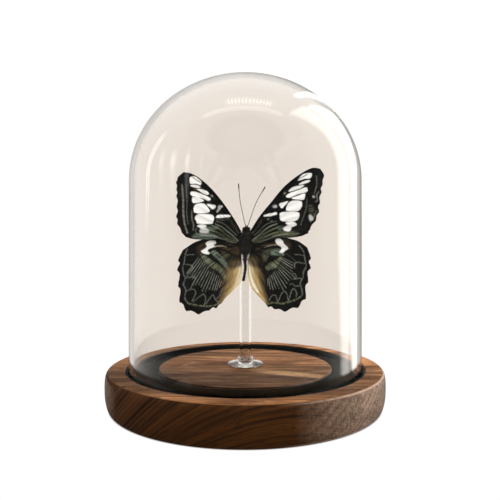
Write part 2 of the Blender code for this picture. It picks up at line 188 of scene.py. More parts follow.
# Markings of the wings as (layer, strength, form, width, points), x and z in mm. A patch is the
# inside of a smooth closed outline and its width is how far its edge fades. A stroke is a line
# of that width. Rays are fine lines between two curves: in place of the points they have their
# number and the two curves.
MARKINGS = {
    "forewing_left": (
        ("cream", 1, "patch", 0.35, ((-28.4, 115.2), (-27.4, 116.2), (-25.7, 116.2), (-24, 115),
         (-22.4, 113.4), (-23, 111.9), (-25.1, 112.5), (-28, 112.6))),
        ("cream", 0.95, "patch", 0.35, ((-27.8, 111.9), (-25.1, 111.9), (-23, 110.9), (-24, 110.4),
         (-27.3, 111))),
        ("brown", 0.6, "patch", 0.6, ((-26.4, 110.6), (-23.6, 110), (-23.8, 108.8), (-26, 109))),
        ("cream", 1, "patch", 0.35, ((-24.8, 109.9), (-22.3, 109.7), (-19.5, 108.6), (-18.7, 107.4),
         (-19.5, 106.8), (-21.7, 107.7))),
        ("grey", 1, "patch", 0.7, ((-17.7, 106.7), (-16.9, 106.9), (-16.5, 106.1), (-17.4, 105.8))),
        ("cream", 1, "patch", 0.35, ((-27.8, 108.3), (-25.1, 108.3), (-21, 106.7), (-17.7, 105.1),
         (-18.8, 103.8), (-21.5, 104.9), (-27.3, 106.4))),
        ("cream", 1, "patch", 0.35, ((-27, 105.5), (-24.6, 105.5), (-21.2, 103.9), (-24, 102.9),
         (-26.7, 102.8))),
        ("cream", 1, "patch", 0.35, ((-26.4, 100), (-25.5, 101.8), (-22.9, 102.5), (-20.6, 102.1),
         (-18.4, 99.3), (-18.9, 97.9), (-22.9, 97.3), (-26, 97.9))),
        ("cream", 1, "patch", 0.35, ((-25.8, 95.1), (-24.6, 96.7), (-21.7, 97), (-17.2, 96.8),
         (-16, 95.4), (-16.4, 93.1), (-17.5, 92.1), (-24, 92.1), (-25.1, 93.7))),
        ("cream", 0.95, "patch", 0.5, ((-24.6, 91.1), (-22.3, 91.8), (-20.1, 91.4), (-20.3, 90.3),
         (-22.9, 90))),
        ("cream", 0.62, "patch", 1.1, ((-22.6, 90.2), (-20.4, 90), (-18.4, 88.4), (-20, 87.4),
         (-23.2, 87.8))),
        ("cream", 0.95, "patch", 0.4, ((-19.6, 102.1), (-15.6, 101.6), (-15.3, 100.4), (-16.7, 99.5),
         (-18.1, 100.5))),
        ("cream", 0.55, "patch", 0.6, ((-13.7, 101.4), (-11.6, 101.1), (-12.5, 99.9), (-14.6, 97.7),
         (-14.1, 99.7))),
        ("cream", 1, "patch", 0.4, ((-14.8, 95.8), (-13.6, 96.7), (-8.5, 96.7), (-8.1, 95.6),
         (-14.4, 95.1))),
        ("dark", 1, "stroke", 0.32, ((-27.6, 116.4), (-25, 114.5), (-22.6, 113))),
        ("grey", 0.75, "stroke", 0.75, ((-32.3, 111.8), (-31.7, 104), (-31.6, 96.9), (-30.8, 91.5),
         (-29.6, 87.6))),
        ("grey", 0.35, "stroke", 0.5, ((-30.4, 112.6), (-29.8, 104), (-29.9, 97), (-29.2, 92))),
        ("grey", 0.6, "stroke", 0.55, ((-27.3, 98.6), (-27.3, 95), (-26.4, 91.4), (-26.6, 88.8))),
        ("grey", 0.5, "stroke", 0.4, ((-24.8, 90), (-25.4, 88.2), (-24.2, 86.7))),
        ("grey", 0.8, "stroke", 0.55, ((-3.8, 83.6), (-8, 87.4), (-11.6, 90.2), (-15.2, 92))),
        ("sage", 0.7, "stroke", 0.75, ((-4.2, 83), (-9.4, 86.4), (-13.6, 89.4), (-18.2, 90.2))),
        ("sage", 0.75, "stroke", 0.9, ((-5, 82.6), (-10.6, 85.4), (-15.4, 87.8), (-19.6, 88.2))),
        ("grey", 0.8, "stroke", 0.5, ((-6.4, 82.6), (-11.6, 84.3), (-17, 85.8), (-23, 86.4))),
        ("teal", 0.9, "patch", 1.3, ((-26, 86.6), (-21, 87.4), (-16.6, 86.9), (-14, 85.4), (-17, 84.3),
         (-23, 84.5), (-27, 85.3))),
        ("teal", 0.7, "patch", 1.4, ((-20.4, 90.4), (-16.8, 91.2), (-13.6, 90.2), (-16, 88.8),
         (-19, 88.4))),
        ("sage", 0.5, "stroke", 0.5, ((-3.4, 87.4), (-6.4, 91.8), (-9, 95), (-9.6, 96.2))),
        ("grey", 0.45, "stroke", 0.45, ((-4.4, 86.2), (-8, 89.6), (-11.4, 92.4), (-14.8, 93.4))),
        ("grey", 0.45, "stroke", 0.35, ((-8.2, 94.4), (-11.4, 94), (-14.6, 94.3))),
    ),
    "forewing_right": (
        ("cream", 1, "patch", 0.35, ((26.9, 114.2), (28.2, 116.2), (30.1, 117.6), (33.7, 117.8),
         (33.2, 115.4), (30, 114.9))),
        ("cream", 0.95, "patch", 0.3, ((27.3, 112.4), (30.1, 113.9), (32.9, 114.3), (32.2, 113.2),
         (28.4, 112.1))),
        ("cream", 0.95, "patch", 0.35, ((22.4, 108.5), (23.3, 110.1), (25.6, 111.2), (29.9, 111.8),
         (28.2, 110.3))),
        ("cream", 1, "patch", 0.35, ((20.7, 106.2), (22.8, 107.8), (27, 109.2), (30.9, 110.6),
         (31.8, 109.1), (30.9, 108.2), (26.7, 107.1), (22.5, 105.4))),
        ("cream", 1, "patch", 0.35, ((23.6, 105.1), (27.3, 106.6), (30.4, 107.5), (29.9, 104.6),
         (27.8, 104.3))),
        ("cream", 1, "patch", 0.35, ((20.8, 99.8), (21.9, 102.4), (24.4, 103.9), (28.4, 103.6),
         (29, 101.8), (28.4, 100.1), (26.7, 98.7), (21.6, 98.7))),
        ("cream", 1, "patch", 0.35, ((17.6, 96.2), (18.5, 97.9), (26.1, 98.2), (27.7, 96.4), (25.6, 93.6),
         (19.4, 93.3), (17.8, 94.5))),
        ("cream", 0.95, "patch", 0.5, ((20.6, 92.6), (24.7, 93), (26.2, 91.6), (23.4, 90.6))),
        ("cream", 0.85, "patch", 0.7, ((19.5, 90), (22.4, 91.6), (23.6, 90.6), (22.6, 88.3),
         (20.2, 88.5))),
        ("cream", 0.95, "patch", 0.4, ((17.6, 102.4), (21.8, 103.6), (20, 101.2), (18.8, 100),
         (17.8, 101))),
        ("cream", 0.6, "patch", 0.6, ((13.8, 101), (15.6, 101.9), (16.2, 100.4), (14.8, 100.2))),
        ("cream", 1, "patch", 0.4, ((9.7, 96.6), (15.4, 98), (15.8, 96.7), (10.3, 95.8))),
        ("dark", 1, "stroke", 0.32, ((26.4, 114.4), (28.8, 115.7), (31.5, 117.2))),
        ("grey", 0.9, "patch", 0.6, ((19.6, 107.9), (20.4, 108.3), (20.9, 107.5), (20, 107.1))),
        ("grey", 0.8, "patch", 0.6, ((11.2, 94.6), (12, 94.9), (12.3, 94.2), (11.5, 94))),
        ("grey", 0.7, "patch", 0.6, ((13, 93.6), (13.9, 93.8), (13.9, 93.1), (13.1, 93))),
        ("grey", 0.45, "stroke", 0.5, ((36.2, 116.6), (36.4, 112), (35.2, 107.6))),
        ("grey", 0.35, "stroke", 0.5, ((31.4, 104.6), (31, 100), (29.6, 95.4), (28.4, 91.6))),
        ("sage", 0.5, "patch", 1.4, ((32.4, 101.4), (34.6, 100.8), (34.8, 97.4), (32.8, 96.8))),
        ("cream", 0.6, "patch", 0.9, ((32.4, 96.4), (34, 96.2), (34.6, 94.4), (33, 93.6))),
        ("cream", 0.45, "patch", 0.6, ((34.3, 106.4), (35.3, 106.2), (35.3, 105.4), (34.4, 105.4))),
        ("grey", 0.7, "stroke", 0.5, ((37.4, 108.4), (36.4, 106.6), (36.8, 104.2), (35.8, 103.2))),
        ("grey", 0.6, "stroke", 0.45, ((36.4, 98.6), (35.4, 96.8), (34.8, 94.8), (33.4, 93))),
        ("grey", 0.8, "stroke", 0.6, ((3.6, 83.6), (8, 87.2), (12, 90.4), (16.2, 92))),
        ("sage", 0.7, "stroke", 0.85, ((4.2, 83), (9.4, 86.6), (13.6, 89.2), (18.4, 90.4))),
        ("sage", 0.75, "stroke", 0.9, ((5.4, 82.7), (11, 85.8), (16, 87.6), (20.6, 87.8))),
        ("grey", 0.8, "stroke", 0.5, ((6.8, 82.6), (11.8, 84.4), (16.4, 86), (21.4, 86.8))),
        ("sage", 0.9, "patch", 1.5, ((13.6, 86), (17, 88), (22.4, 88.4), (27.4, 87.2), (23.6, 85.6),
         (17.6, 85.4))),
        ("teal", 0.6, "patch", 1.3, ((16.6, 90.6), (19.8, 90.8), (19.6, 89.2), (17, 89))),
        ("sage", 0.5, "stroke", 0.5, ((3.6, 87.2), (6.6, 91), (8.6, 94.4))),
        ("grey", 0.45, "stroke", 0.45, ((4.6, 86.2), (8.4, 89.8), (12, 92.4), (15.8, 93.4))),
    ),
    "hindwing_left": (
        ("brown", 0.5, "patch", 2, ((-25, 79.4), (-23.2, 81.4), (-20.5, 83.1), (-19.8, 80.6), (-22, 78.4),
         (-23.2, 76.7), (-24.3, 77.2))),
        ("brown", 0.55, "patch", 1.4, ((-14.7, 82.7), (-8.6, 82.2), (-2.8, 79.4), (-2.5, 73.9),
         (-6.7, 72.9), (-10.6, 75.8), (-13.5, 79.4))),
        ("sage", 0.45, "patch", 1.3, ((-11.8, 77.4), (-8, 76.1), (-5.4, 73.6), (-8.6, 72.9),
         (-11.8, 75.2))),
        ("gold", 1, "patch", 2.8, ((-8.4, 72.1), (-5.7, 73.8), (-2.8, 74.1), (-0.5, 72.1), (0.1, 67.8),
         (-0.4, 63.3), (-2.4, 60), (-6.4, 55.5), (-11.1, 51.7), (-12.8, 52), (-11.1, 56.2), (-9.8, 60.7),
         (-9.1, 65.8))),
        ("brown", 1, "patch", 2.6, ((-11.4, 72), (-7.2, 71.6), (-5.8, 66.5), (-6.6, 61.3), (-8.9, 56.4),
         (-12, 52), (-14, 52.6), (-12.6, 58.1), (-12, 63.3), (-11.6, 67.1))),
        ("dark", 0.85, "patch", 2.4, ((-9, 75.6), (-1.4, 75.6), (-1, 71.6), (-4.4, 69.6), (-8.6, 69.4))),
        ("pale", 1, "patch", 1.8, ((-3.6, 72.1), (-0.4, 72.1), (0.1, 67.8), (-0.4, 63.3), (-2.7, 59.4),
         (-5.7, 55.9), (-7.1, 56.8), (-4.8, 62), (-3.6, 67.1))),
        ("sage", 0.95, "patch", 1, ((-23, 76.4), (-20.2, 75.8), (-16.7, 73), (-13.8, 71.2), (-11.1, 68.5),
         (-9.8, 65.1), (-11.1, 64), (-13.4, 67.3), (-16.7, 69.3), (-19.6, 71.1), (-22, 74.1))),
        ("grey", 0.35, "patch", 1, ((-22, 75.6), (-19.6, 74.5), (-17, 72.1), (-17.6, 71), (-20.1, 72.7),
         (-22, 74.5))),
        ("teal", 1, "patch", 1, ((-18.2, 78.7), (-16.2, 78.8), (-13.6, 77), (-11.5, 74.7), (-9.5, 72.1),
         (-7.9, 69.7), (-9.1, 68.9), (-11.6, 71.2), (-14, 73.8), (-16.7, 76.1))),
        ("dark", 0.9, "stroke", 0.35, ((-22, 76.8), (-19.4, 75.8), (-16.3, 73.6), (-13.1, 71.5),
         (-10.6, 68.9))),
        ("dark", 0.8, "stroke", 0.5, ((-14.9, 76.4), (-13.6, 75.2), (-12.5, 74.7))),
        ("dark", 0.9, "patch", 0.7, ((-18.8, 69.2), (-17.5, 69.6), (-16.7, 68.4), (-17.6, 67.4),
         (-18.7, 67.8))),
        ("dark", 0.9, "patch", 0.7, ((-15.6, 67.4), (-14.2, 67.6), (-13.8, 66.4), (-14.8, 65.6),
         (-15.7, 66.2))),
        ("dark", 0.7, "patch", 0.7, ((-13.3, 64.4), (-11.8, 64.8), (-11.3, 63.4), (-12.5, 62.7))),
        ("cream", 1, "patch", 0.5, ((-19.6, 83), (-17.6, 83.7), (-15.4, 83.3), (-15.1, 81.9),
         (-16.2, 80.3), (-18, 79.5), (-19.2, 78.7), (-18.2, 77), (-19.6, 76.5), (-22, 77.2),
         (-22.7, 78.3), (-20.9, 79.4), (-19.8, 80.6), (-20.3, 81.9))),
        ("dark", 1, "patch", 0.4, ((-19.4, 78.3), (-18.2, 79.3), (-16.1, 79.2), (-17, 78.3),
         (-18.2, 77.6))),
        ("pale", 0.6, "stroke", 0.45, ((-16.2, 80.3), (-13.5, 80.8), (-9.8, 80.3))),
        ("dark", 0.85, "stroke", 1, ((-15.6, 81.4), (-11.8, 81.8), (-6.7, 80))),
        ("dark", 0.9, "stroke", 0.9, ((-16, 79.2), (-11.2, 78.7), (-5.4, 75.8))),
        ("grey", 0.95, "rays", 0.15, 14, ((-23.9, 75.2), (-22, 73.2), (-19.8, 70.7), (-17, 68.5),
         (-13.6, 65.5), (-12, 63.8)), ((-30.1, 66.7), (-27.9, 61.3), (-24.6, 57.7), (-20.9, 56.4),
         (-17, 56.4), (-13.6, 58.8))),
        ("grey", 0.6, "stroke", 0.5, ((-29.7, 79.4), (-30.8, 76.1), (-31.2, 72.9), (-32.1, 69.7),
         (-31.7, 66.5), (-30.8, 64.2), (-31.7, 61.3), (-30.5, 58.1), (-31, 54.3), (-29.4, 51.5))),
        ("sage", 1, "stroke", 0.7, ((-29.4, 51.5), (-26, 50.6), (-22.1, 50), (-17.6, 50), (-13.3, 51.2))),
        ("grey", 0.6, "stroke", 0.45, ((-31.3, 71.5), (-28.1, 71.1), (-26.9, 69.8), (-28.7, 67.5),
         (-30, 65.1))),
        ("grey", 0.6, "stroke", 0.45, ((-30.6, 64.3), (-26.9, 65.2), (-25.6, 63.9), (-26.9, 61.3),
         (-28.2, 58.6))),
        ("grey", 0.6, "stroke", 0.45, ((-30.4, 57.7), (-27, 58.8), (-25.5, 57.3), (-26.1, 54.9),
         (-27.3, 52.6))),
        ("grey", 0.6, "stroke", 0.45, ((-26.6, 52.2), (-23.7, 54.8), (-21.5, 56.1), (-20.3, 53.9),
         (-21.1, 50.1))),
        ("grey", 0.6, "stroke", 0.45, ((-20.2, 50.9), (-18.2, 54.1), (-16.6, 55.7), (-15.2, 53.2),
         (-13.1, 51.3))),
        ("grey", 0.45, "stroke", 0.4, ((-15.1, 53.5), (-13.1, 55.5), (-11.6, 58.8))),
        ("grey", 0.45, "stroke", 0.4, ((-30.8, 75.9), (-28.6, 76.4), (-26.3, 76.4))),
        ("grey", 0.35, "stroke", 0.4, ((-25.6, 68.5), (-27.5, 65.1), (-29.2, 64.3))),
    ),
    "hindwing_right": (
        ("brown", 0.5, "patch", 1.6, ((19.4, 84.1), (21.9, 83.6), (23.4, 81.9), (23.2, 79.4),
         (22.1, 78.6), (21.9, 80.4), (20.3, 82.1))),
        ("brown", 0.6, "patch", 1.2, ((5.5, 78.2), (5.9, 79.6), (8.8, 81.4), (13.3, 82.6), (15.6, 82.7),
         (15.4, 81.4), (10, 80.4))),
        ("sage", 0.5, "patch", 1.2, ((8.8, 77.7), (12.4, 79.2), (16.5, 79.6), (18.4, 78.7), (16.5, 77.7),
         (12.6, 76.8), (10, 75.5))),
        ("brown", 0.6, "patch", 1.4, ((3.3, 74.9), (4.2, 76.4), (7.5, 77), (10, 76.1), (9.8, 72.9),
         (7.5, 69.7), (6.8, 72.9))),
        ("gold", 1, "patch", 2.8, ((-0.3, 74.2), (4, 75.6), (6.2, 73.8), (6.6, 69.7), (7, 65.8),
         (8.2, 61.3), (9.1, 57.5), (10.8, 52.6), (9.4, 50.9), (4.9, 56.8), (1, 61.3), (-0.5, 66.5),
         (-0.6, 71))),
        ("brown", 0.9, "patch", 1.8, ((5.3, 71.6), (8, 70.3), (9.5, 64.6), (10.3, 58.8), (11.7, 53),
         (10.4, 52.6), (8.2, 57.5), (6.7, 62), (5.8, 66.5))),
        ("brown", 0.5, "patch", 2.4, ((2.4, 72.5), (4.8, 73.5), (6.6, 69.7), (7.6, 64), (9.4, 57.5),
         (10.3, 53.4), (7.6, 56.8), (4.8, 62), (3, 67))),
        ("dark", 0.85, "patch", 2.4, ((8.4, 76.6), (1.4, 76), (1.2, 72.2), (4.4, 70), (8.4, 69.8))),
        ("pale", 1, "patch", 1.6, ((0.9, 72.9), (3.1, 72.5), (3.9, 67.8), (4.6, 63.3), (6.8, 58.1),
         (6.1, 56.8), (2.3, 61.3), (0.6, 66.5))),
        ("teal", 0.95, "patch", 0.9, ((12.6, 77.2), (15.4, 79.2), (18.4, 78.6), (20.1, 76.4),
         (18.4, 75.8), (16.2, 76.1), (14, 75.9))),
        ("sage", 0.95, "patch", 0.9, ((10.3, 70), (12.4, 71.9), (15.6, 73.7), (18.5, 75.5), (19.4, 74.5),
         (17.9, 72.5), (16.6, 70.2), (14, 68.9), (11.6, 68.3))),
        ("grey", 0.3, "patch", 0.9, ((12, 70.2), (14.7, 72.1), (17.3, 73.8), (17.6, 73), (15.8, 70.6),
         (13.3, 69.4))),
        ("sage", 0.55, "patch", 0.9, ((9.1, 76.4), (11.7, 76.8), (12.4, 75.8), (11.1, 73.6), (9.4, 72.3),
         (8.5, 74.2))),
        ("dark", 1, "patch", 0.6, ((11.5, 73.2), (12.1, 75.2), (14.4, 76), (16.2, 75.4), (14.5, 74.3),
         (13, 73))),
        ("dark", 0.8, "stroke", 0.3, ((9.8, 70.9), (12.6, 72.8), (16.5, 74.5))),
        ("dark", 0.9, "patch", 0.7, ((11.8, 67.4), (13.3, 68.3), (14.2, 67.3), (13.4, 65.8), (12.1, 66))),
        ("dark", 0.9, "patch", 0.7, ((15.4, 68.9), (16.6, 69.4), (17.3, 68.5), (16.2, 67.5))),
        ("cream", 1, "patch", 0.5, ((15.6, 84.1), (17.4, 84.6), (19.1, 83.6), (19.8, 81.9), (21.4, 80.6),
         (22, 79.4), (20.5, 78.4), (19.1, 77.2), (17.4, 77.7), (18.5, 79.2), (18.1, 80.5), (16.5, 81.4),
         (15.6, 82.7))),
        ("pale", 0.4, "stroke", 0.4, ((9.8, 80), (12.6, 81), (15.8, 81.4))),
        ("dark", 0.9, "stroke", 0.8, ((6.8, 78.2), (10.7, 79.6), (16.5, 80.3), (18.2, 79.6))),
        ("grey", 0.95, "rays", 0.15, 14, ((19.7, 74.5), (19.1, 72.9), (17.9, 71.2), (16.7, 69.4),
         (14.5, 67.5), (12.5, 65.5), (11.5, 63.8)), ((24.6, 72.1), (25.5, 68.3), (25, 63.3), (21.9, 58.8),
         (17.5, 56.8), (13.4, 57.9), (11.7, 59.7))),
        ("grey", 0.6, "stroke", 0.5, ((27.7, 80.9), (29.7, 78.2), (30.5, 74.3), (31.2, 70.5),
         (29.9, 67.8), (29.5, 64.6), (28.2, 61.8), (29, 58.1), (29.1, 55.8), (27.3, 54.1))),
        ("sage", 1, "stroke", 0.7, ((27.3, 54.1), (24.5, 52.8), (21.4, 51.9), (18.4, 51.2), (14, 51.7),
         (11.2, 50.8))),
        ("grey", 0.6, "stroke", 0.45, ((25.2, 69.6), (25.4, 71.9), (27.2, 72.4), (30.3, 71.8))),
        ("grey", 0.6, "stroke", 0.45, ((24.2, 66.8), (25.5, 66.5), (26.1, 64.9), (24.9, 63.9),
         (27.4, 64.2), (29.4, 63.9))),
        ("grey", 0.6, "stroke", 0.45, ((22.9, 61), (24.2, 61.4), (25.6, 60.2), (28.3, 60.6))),
        ("grey", 0.6, "stroke", 0.45, ((22.3, 53.2), (23.7, 57.7), (25, 58.8), (26.3, 56.8),
         (26.1, 54.8))),
        ("grey", 0.6, "stroke", 0.45, ((16.6, 51.7), (18.2, 55.5), (19.7, 57.6), (21.2, 56.3),
         (22.1, 53))),
        ("grey", 0.6, "stroke", 0.45, ((12.1, 52.6), (13.6, 55.2), (15.6, 55.3), (16.6, 51.8))),
        ("grey", 0.45, "stroke", 0.4, ((25.5, 76.4), (27.4, 76.4), (30.1, 75.9))),
        ("grey", 0.35, "stroke", 0.4, ((20.7, 76.8), (22.9, 75.4), (25.5, 73.2))),
    ),
}

# Each layer of scales from the lowest to the highest, with how much of it is broken up
LAYERS = {
    "gold": 0.45,
    "pale": 0.3,
    "brown": 0.9,
    "sage": 0.85,
    "teal": 0.8,
    "grey": 0.45,
    "cream": 0.0,
    "dark": 0.1,
}

ANTENNAE = {
    "antenna_left": ((0.1, -7.6, 91.0), (-2.45, -8.2, 102.6), (-3.5, -8.6, 112.6)),
    "antenna_right": ((1.2, -7.6, 90.9), (5.45, -8.2, 102.6), (10.2, -8.6, 111.0)),
}

# Legs folded against the underside, given for the right side: root, knee, ankle and toe
LEGS = {
    "leg_middle": ((2.5, -3.7, 84.2), (5.0, -3.9, 80.8), (3.8, -4.1, 75.0), (4.3, -4.2, 70.4)),
    "leg_hind": ((2.5, -3.2, 80.8), (6.2, -2.3, 77.2), (5.2, -1.8, 69.5), (6.2, -1.9, 63.6)),
}


# Smaller tones that go with the colours of the settings
# The darkest band of the side's painted shade
SHADED_SIDE_BAND = (0.0035, 0.0016, 0.0011)
CUT_PORE = (0.040, 0.024, 0.016)
# A painted highlight along the rim's edge
PAINTED_EDGE_HIGHLIGHT = (0.42, 0.29, 0.21)
FIBRE = (0.020, 0.009, 0.005)
OPEN_PORE = (0.006, 0.003, 0.002)
PALE_WOOL = (0.014, 0.016, 0.013)
DUST = (0.09, 0.09, 0.08)
OLIVE_TUFT = (0.017, 0.018, 0.012)
PALE_UNDERSIDE = (0.060, 0.055, 0.036)
VEIN = (0.008, 0.007, 0.005)
PALE_CHITIN = (0.045, 0.042, 0.034)
BLACK_HAIR = (0.0055, 0.0055, 0.0048)
GREY_HAIR = (0.075, 0.076, 0.064)
WHITE_HAIR = (0.42, 0.41, 0.37)

FROM_LOG_HEART = (0.0, 0.006, 0.030)  # from the heart of the log to the base's origin, m

# Folds of the curtain that the glass mirrors: where each begins and ends, and its strength
CURTAIN_FOLDS = (
    (-0.12, -0.02, 1.5),
    (-0.40, -0.28, 2.6),
    (-0.74, -0.64, 3.2),
    (-1.18, -1.09, 1.4),
)


# Settings that a user would change


def colour_setting(**words):
    """A setting for a colour."""
    return FloatVectorProperty(subtype="COLOR", size=3, min=0.0, max=1.0, **words)


def length_setting(**words):
    """A setting for a length in metres."""
    return FloatProperty(subtype="DISTANCE", unit="LENGTH", **words)


class WalnutSettings(bpy.types.PropertyGroup):
    steps: IntProperty(name="Steps", description="Facets round the base", default=288, min=32)
    ring_spacing: length_setting(
        name="Ring spacing", description="Distance between two growth rings", default=0.0026)
    light: colour_setting(
        name="Wood", description="Colour of the top between its dark bands",
        default=(0.162, 0.070, 0.026))
    streak: colour_setting(
        name="Light streaks", description="Colour of the palest streaks of the top",
        default=(0.400, 0.205, 0.092))
    dark: colour_setting(
        name="Dark bands", description="Colour of the dark bands of the top",
        default=(0.034, 0.0125, 0.0045))
    sapwood: colour_setting(
        name="Sapwood", description="Colour of the streak of sapwood",
        default=(0.52, 0.31, 0.155))
    # The side's colours are painted shade, far darker than the top's.
    side: colour_setting(
        name="Side", description="Colour of the oiled side", default=(0.0100, 0.0036, 0.0010))
    side_streak: colour_setting(
        name="Side streaks", description="Colour of the side's lighter streaks",
        default=(0.036, 0.0125, 0.0026))
    # Real end grain, made pale partly as a painted sheen.
    end_grain: colour_setting(
        name="End grain", description="Colour of the side where the grain is cut across",
        default=(0.190, 0.128, 0.090))


class FeltSettings(bpy.types.PropertyGroup):
    colour: colour_setting(
        name="Felt", description="Colour of the felt that lines the groove",
        default=(0.0036, 0.0044, 0.0034))
    fuzz: length_setting(
        name="Fuzz", description="Height of the felt's uneven pile", default=0.00006)


class GlassSettings(bpy.types.PropertyGroup):
    steps: IntProperty(name="Steps", description="Facets round the dome", default=224, min=32)
    ior: FloatProperty(name="IOR", description="Refractive index of the glass", default=1.47)
    waviness: length_setting(
        name="Waviness", description="How far the blown wall strays from a true curve",
        default=0.00004)
    tint: colour_setting(
        name="Tint", description="Colour of the glass", default=(0.985, 0.98, 0.972))


class WingSettings(bpy.types.PropertyGroup):
    cells: IntProperty(name="Cells", description="Cells in one side of a wing", default=33500)
    thickness: length_setting(
        name="Thickness", description="Thickness of the wing", default=0.00014)
    pleat: length_setting(
        name="Pleat", description="How far the veins stand above the cells", default=0.00022)
    black: colour_setting(
        name="Black", description="Colour of the dark scales", default=(0.0026, 0.0026, 0.0020))
    cream: colour_setting(
        name="Cream", description="Colour of the windows", default=(0.82, 0.805, 0.77))
    sage: colour_setting(
        name="Sage", description="Colour of the olive green scales",
        default=(0.150, 0.160, 0.086))
    teal: colour_setting(
        name="Teal", description="Colour of the blue green scales",
        default=(0.185, 0.235, 0.168))
    grey: colour_setting(
        name="Grey", description="Colour of the fine lines", default=(0.235, 0.245, 0.200))
    gold: colour_setting(
        name="Gold", description="Colour of the inner side of the hindwings",
        default=(0.60, 0.43, 0.165))
    pale: colour_setting(
        name="Pale gold", description="Colour of the hindwings' inner edge",
        default=(0.84, 0.73, 0.53))
    brown: colour_setting(
        name="Brown", description="Colour of the brown scales", default=(0.125, 0.075, 0.030))


class BodySettings(bpy.types.PropertyGroup):
    hairs: IntProperty(name="Hairs", description="Hairs on the head and thorax", default=5200)
    hair_length: length_setting(
        name="Hair length", description="Length of the longest hairs", default=0.0013)
    colour: colour_setting(
        name="Body", description="Colour of the body", default=(0.0075, 0.0072, 0.0062))


class StudioSettings(bpy.types.PropertyGroup):
    lens: FloatProperty(
        name="Lens", description="Focal length of the camera, in millimetres", default=37.87)
    distance: length_setting(
        name="Distance", description="From the camera to the axis of the dome", default=0.2772)
    height: length_setting(name="Height", description="Height of the camera", default=0.080)
    sideways: length_setting(
        name="Sideways", description="How far the camera stands to the right", default=0.0024)
    shift: FloatProperty(name="Shift", description="Vertical shift of the lens", default=-0.005)
    light: FloatProperty(name="Light", description="Strength of the soft light", default=1.6)
    behind_glass: colour_setting(
        name="Behind the glass", description="Colour of the paper seen through the glass",
        default=(0.885, 0.806, 0.735))


SETTINGS = (
    ("dome_walnut", WalnutSettings),
    ("dome_felt", FeltSettings),
    ("dome_glass", GlassSettings),
    ("dome_wings", WingSettings),
    ("dome_body", BodySettings),
    ("dome_studio", StudioSettings),
)


# Curves and surfaces as whole arrays


def smoothstep(low, high, value):
    """0 below low, 1 above high, and 3t^2 - 2t^3 between them."""
    t = np.clip((value - low) / (high - low), 0.0, 1.0)
    return t * t * (3.0 - 2.0 * t)


def through(points, where):
    """A Catmull-Rom curve through the points, read at the given numbers of points along it.

    Between points b and c with neighbours a and d, and t the share of the way, it is half of
    2b + (c - a)t + (2a - 5b + 4c - d)t^2 + (3b - a - 3c + d)t^3.
    """
    knots = np.array(points, dtype=float)
    padded = np.vstack([2 * knots[0] - knots[1], knots, 2 * knots[-1] - knots[-2]])
    where = np.asarray(where, dtype=float)
    first = np.clip(np.floor(where).astype(int), 0, len(knots) - 2)
    t = (where - first)[:, None]
    a, b, c, d = (padded[first + step] for step in range(4))
    return 0.5 * (2 * b + (c - a) * t + (2 * a - 5 * b + 4 * c - d) * t**2
                  + (3 * b - a - 3 * c + d) * t**3)


def spaced(points, count):
    """The same curve with count equal steps, found by adding up the lengths of short chords."""
    fine = through(points, np.linspace(0.0, len(points) - 1.0, 24 * len(points)))
    length = np.concatenate([[0.0], np.cumsum(np.linalg.norm(np.diff(fine, axis=0), axis=1))])
    wanted = np.linspace(0.0, length[-1], count + 1)
    return np.stack([np.interp(wanted, length, column) for column in fine.T], axis=1)


def closed_curve(points, per_side=6):
    """A smooth closed outline: the curve through the points, run past both ends and cut."""
    ring = list(points)
    around = ring[-2:] + ring + ring[:3]
    return through(around, np.linspace(2.0, len(ring) + 2.0, per_side * len(ring) + 1))


def ripple(x, y, seed):
    """A smooth uneven field between about -1 and 1: the mean of six sine waves whose
    directions, lengths and starts come from a seeded generator. Distances are in wavelengths."""
    chance = np.random.default_rng(seed)
    total = np.zeros(np.broadcast(x, y).shape)
    for _ in range(6):
        turn = chance.uniform(0.0, math.tau)
        pace = math.tau * chance.uniform(0.6, 1.6)
        start = chance.uniform(0.0, math.tau)
        total += np.sin(pace * (np.cos(turn) * x + np.sin(turn) * y) + start)
    return total / 3.4


def rounded(profile, radius, closed=False, count=5):
    """Round the corners of a profile: each becomes the curve (1-t)^2 a + 2t(1-t) p + t^2 b,
    where a and b lie on the sides, radius away from the corner p or at a third of the side."""
    corners = np.array(profile, dtype=float)
    made = [] if closed else [corners[:1]]
    t = np.linspace(0.0, 1.0, count)[:, None]
    for i in range(0 if closed else 1, len(corners) if closed else len(corners) - 1):
        before = corners[i - 1] - corners[i]
        after = corners[(i + 1) % len(corners)] - corners[i]
        reach_before = min(radius, np.linalg.norm(before) / 3.0)
        reach_after = min(radius, np.linalg.norm(after) / 3.0)
        a = corners[i] + before / np.linalg.norm(before) * reach_before
        b = corners[i] + after / np.linalg.norm(after) * reach_after
        made.append((1 - t)**2 * a + 2 * t * (1 - t) * corners[i] + t**2 * b)
    if not closed:
        made.append(corners[-1:])
    return np.vstack(made)


def divided(profile, longest, closed=False):
    """Add points on the sides of a profile until no side is longer than the given length."""
    ends = np.vstack([profile[1:], profile[:1]]) if closed else profile[1:]
    made = []
    for start, end in zip(profile, ends):
        count = max(1, math.ceil(np.linalg.norm(end - start) / longest))
        share = np.arange(count)[:, None] / count
        made.append(start + share * (end - start))
    if not closed:
        made.append(profile[-1:])
    return np.vstack(made)


def oval_arc(centre, radii, start, end, count):
    """Points centre + (a cos t, b sin t) with t from start to end in degrees."""
    t = np.radians(np.linspace(start, end, count + 1))
    return np.stack([centre[0] + radii[0] * np.cos(t), centre[1] + radii[1] * np.sin(t)], axis=1)


def turned(profile, steps):
    """Grid of a profile of (radius, height) turned about Z: (r cos a, r sin a, z)."""
    angle = np.linspace(0.0, math.tau, steps, endpoint=False)[None, :]
    radius = profile[:, :1]
    height = profile[:, 1:] + 0.0 * angle
    return np.stack([radius * np.cos(angle), radius * np.sin(angle), height], axis=-1)


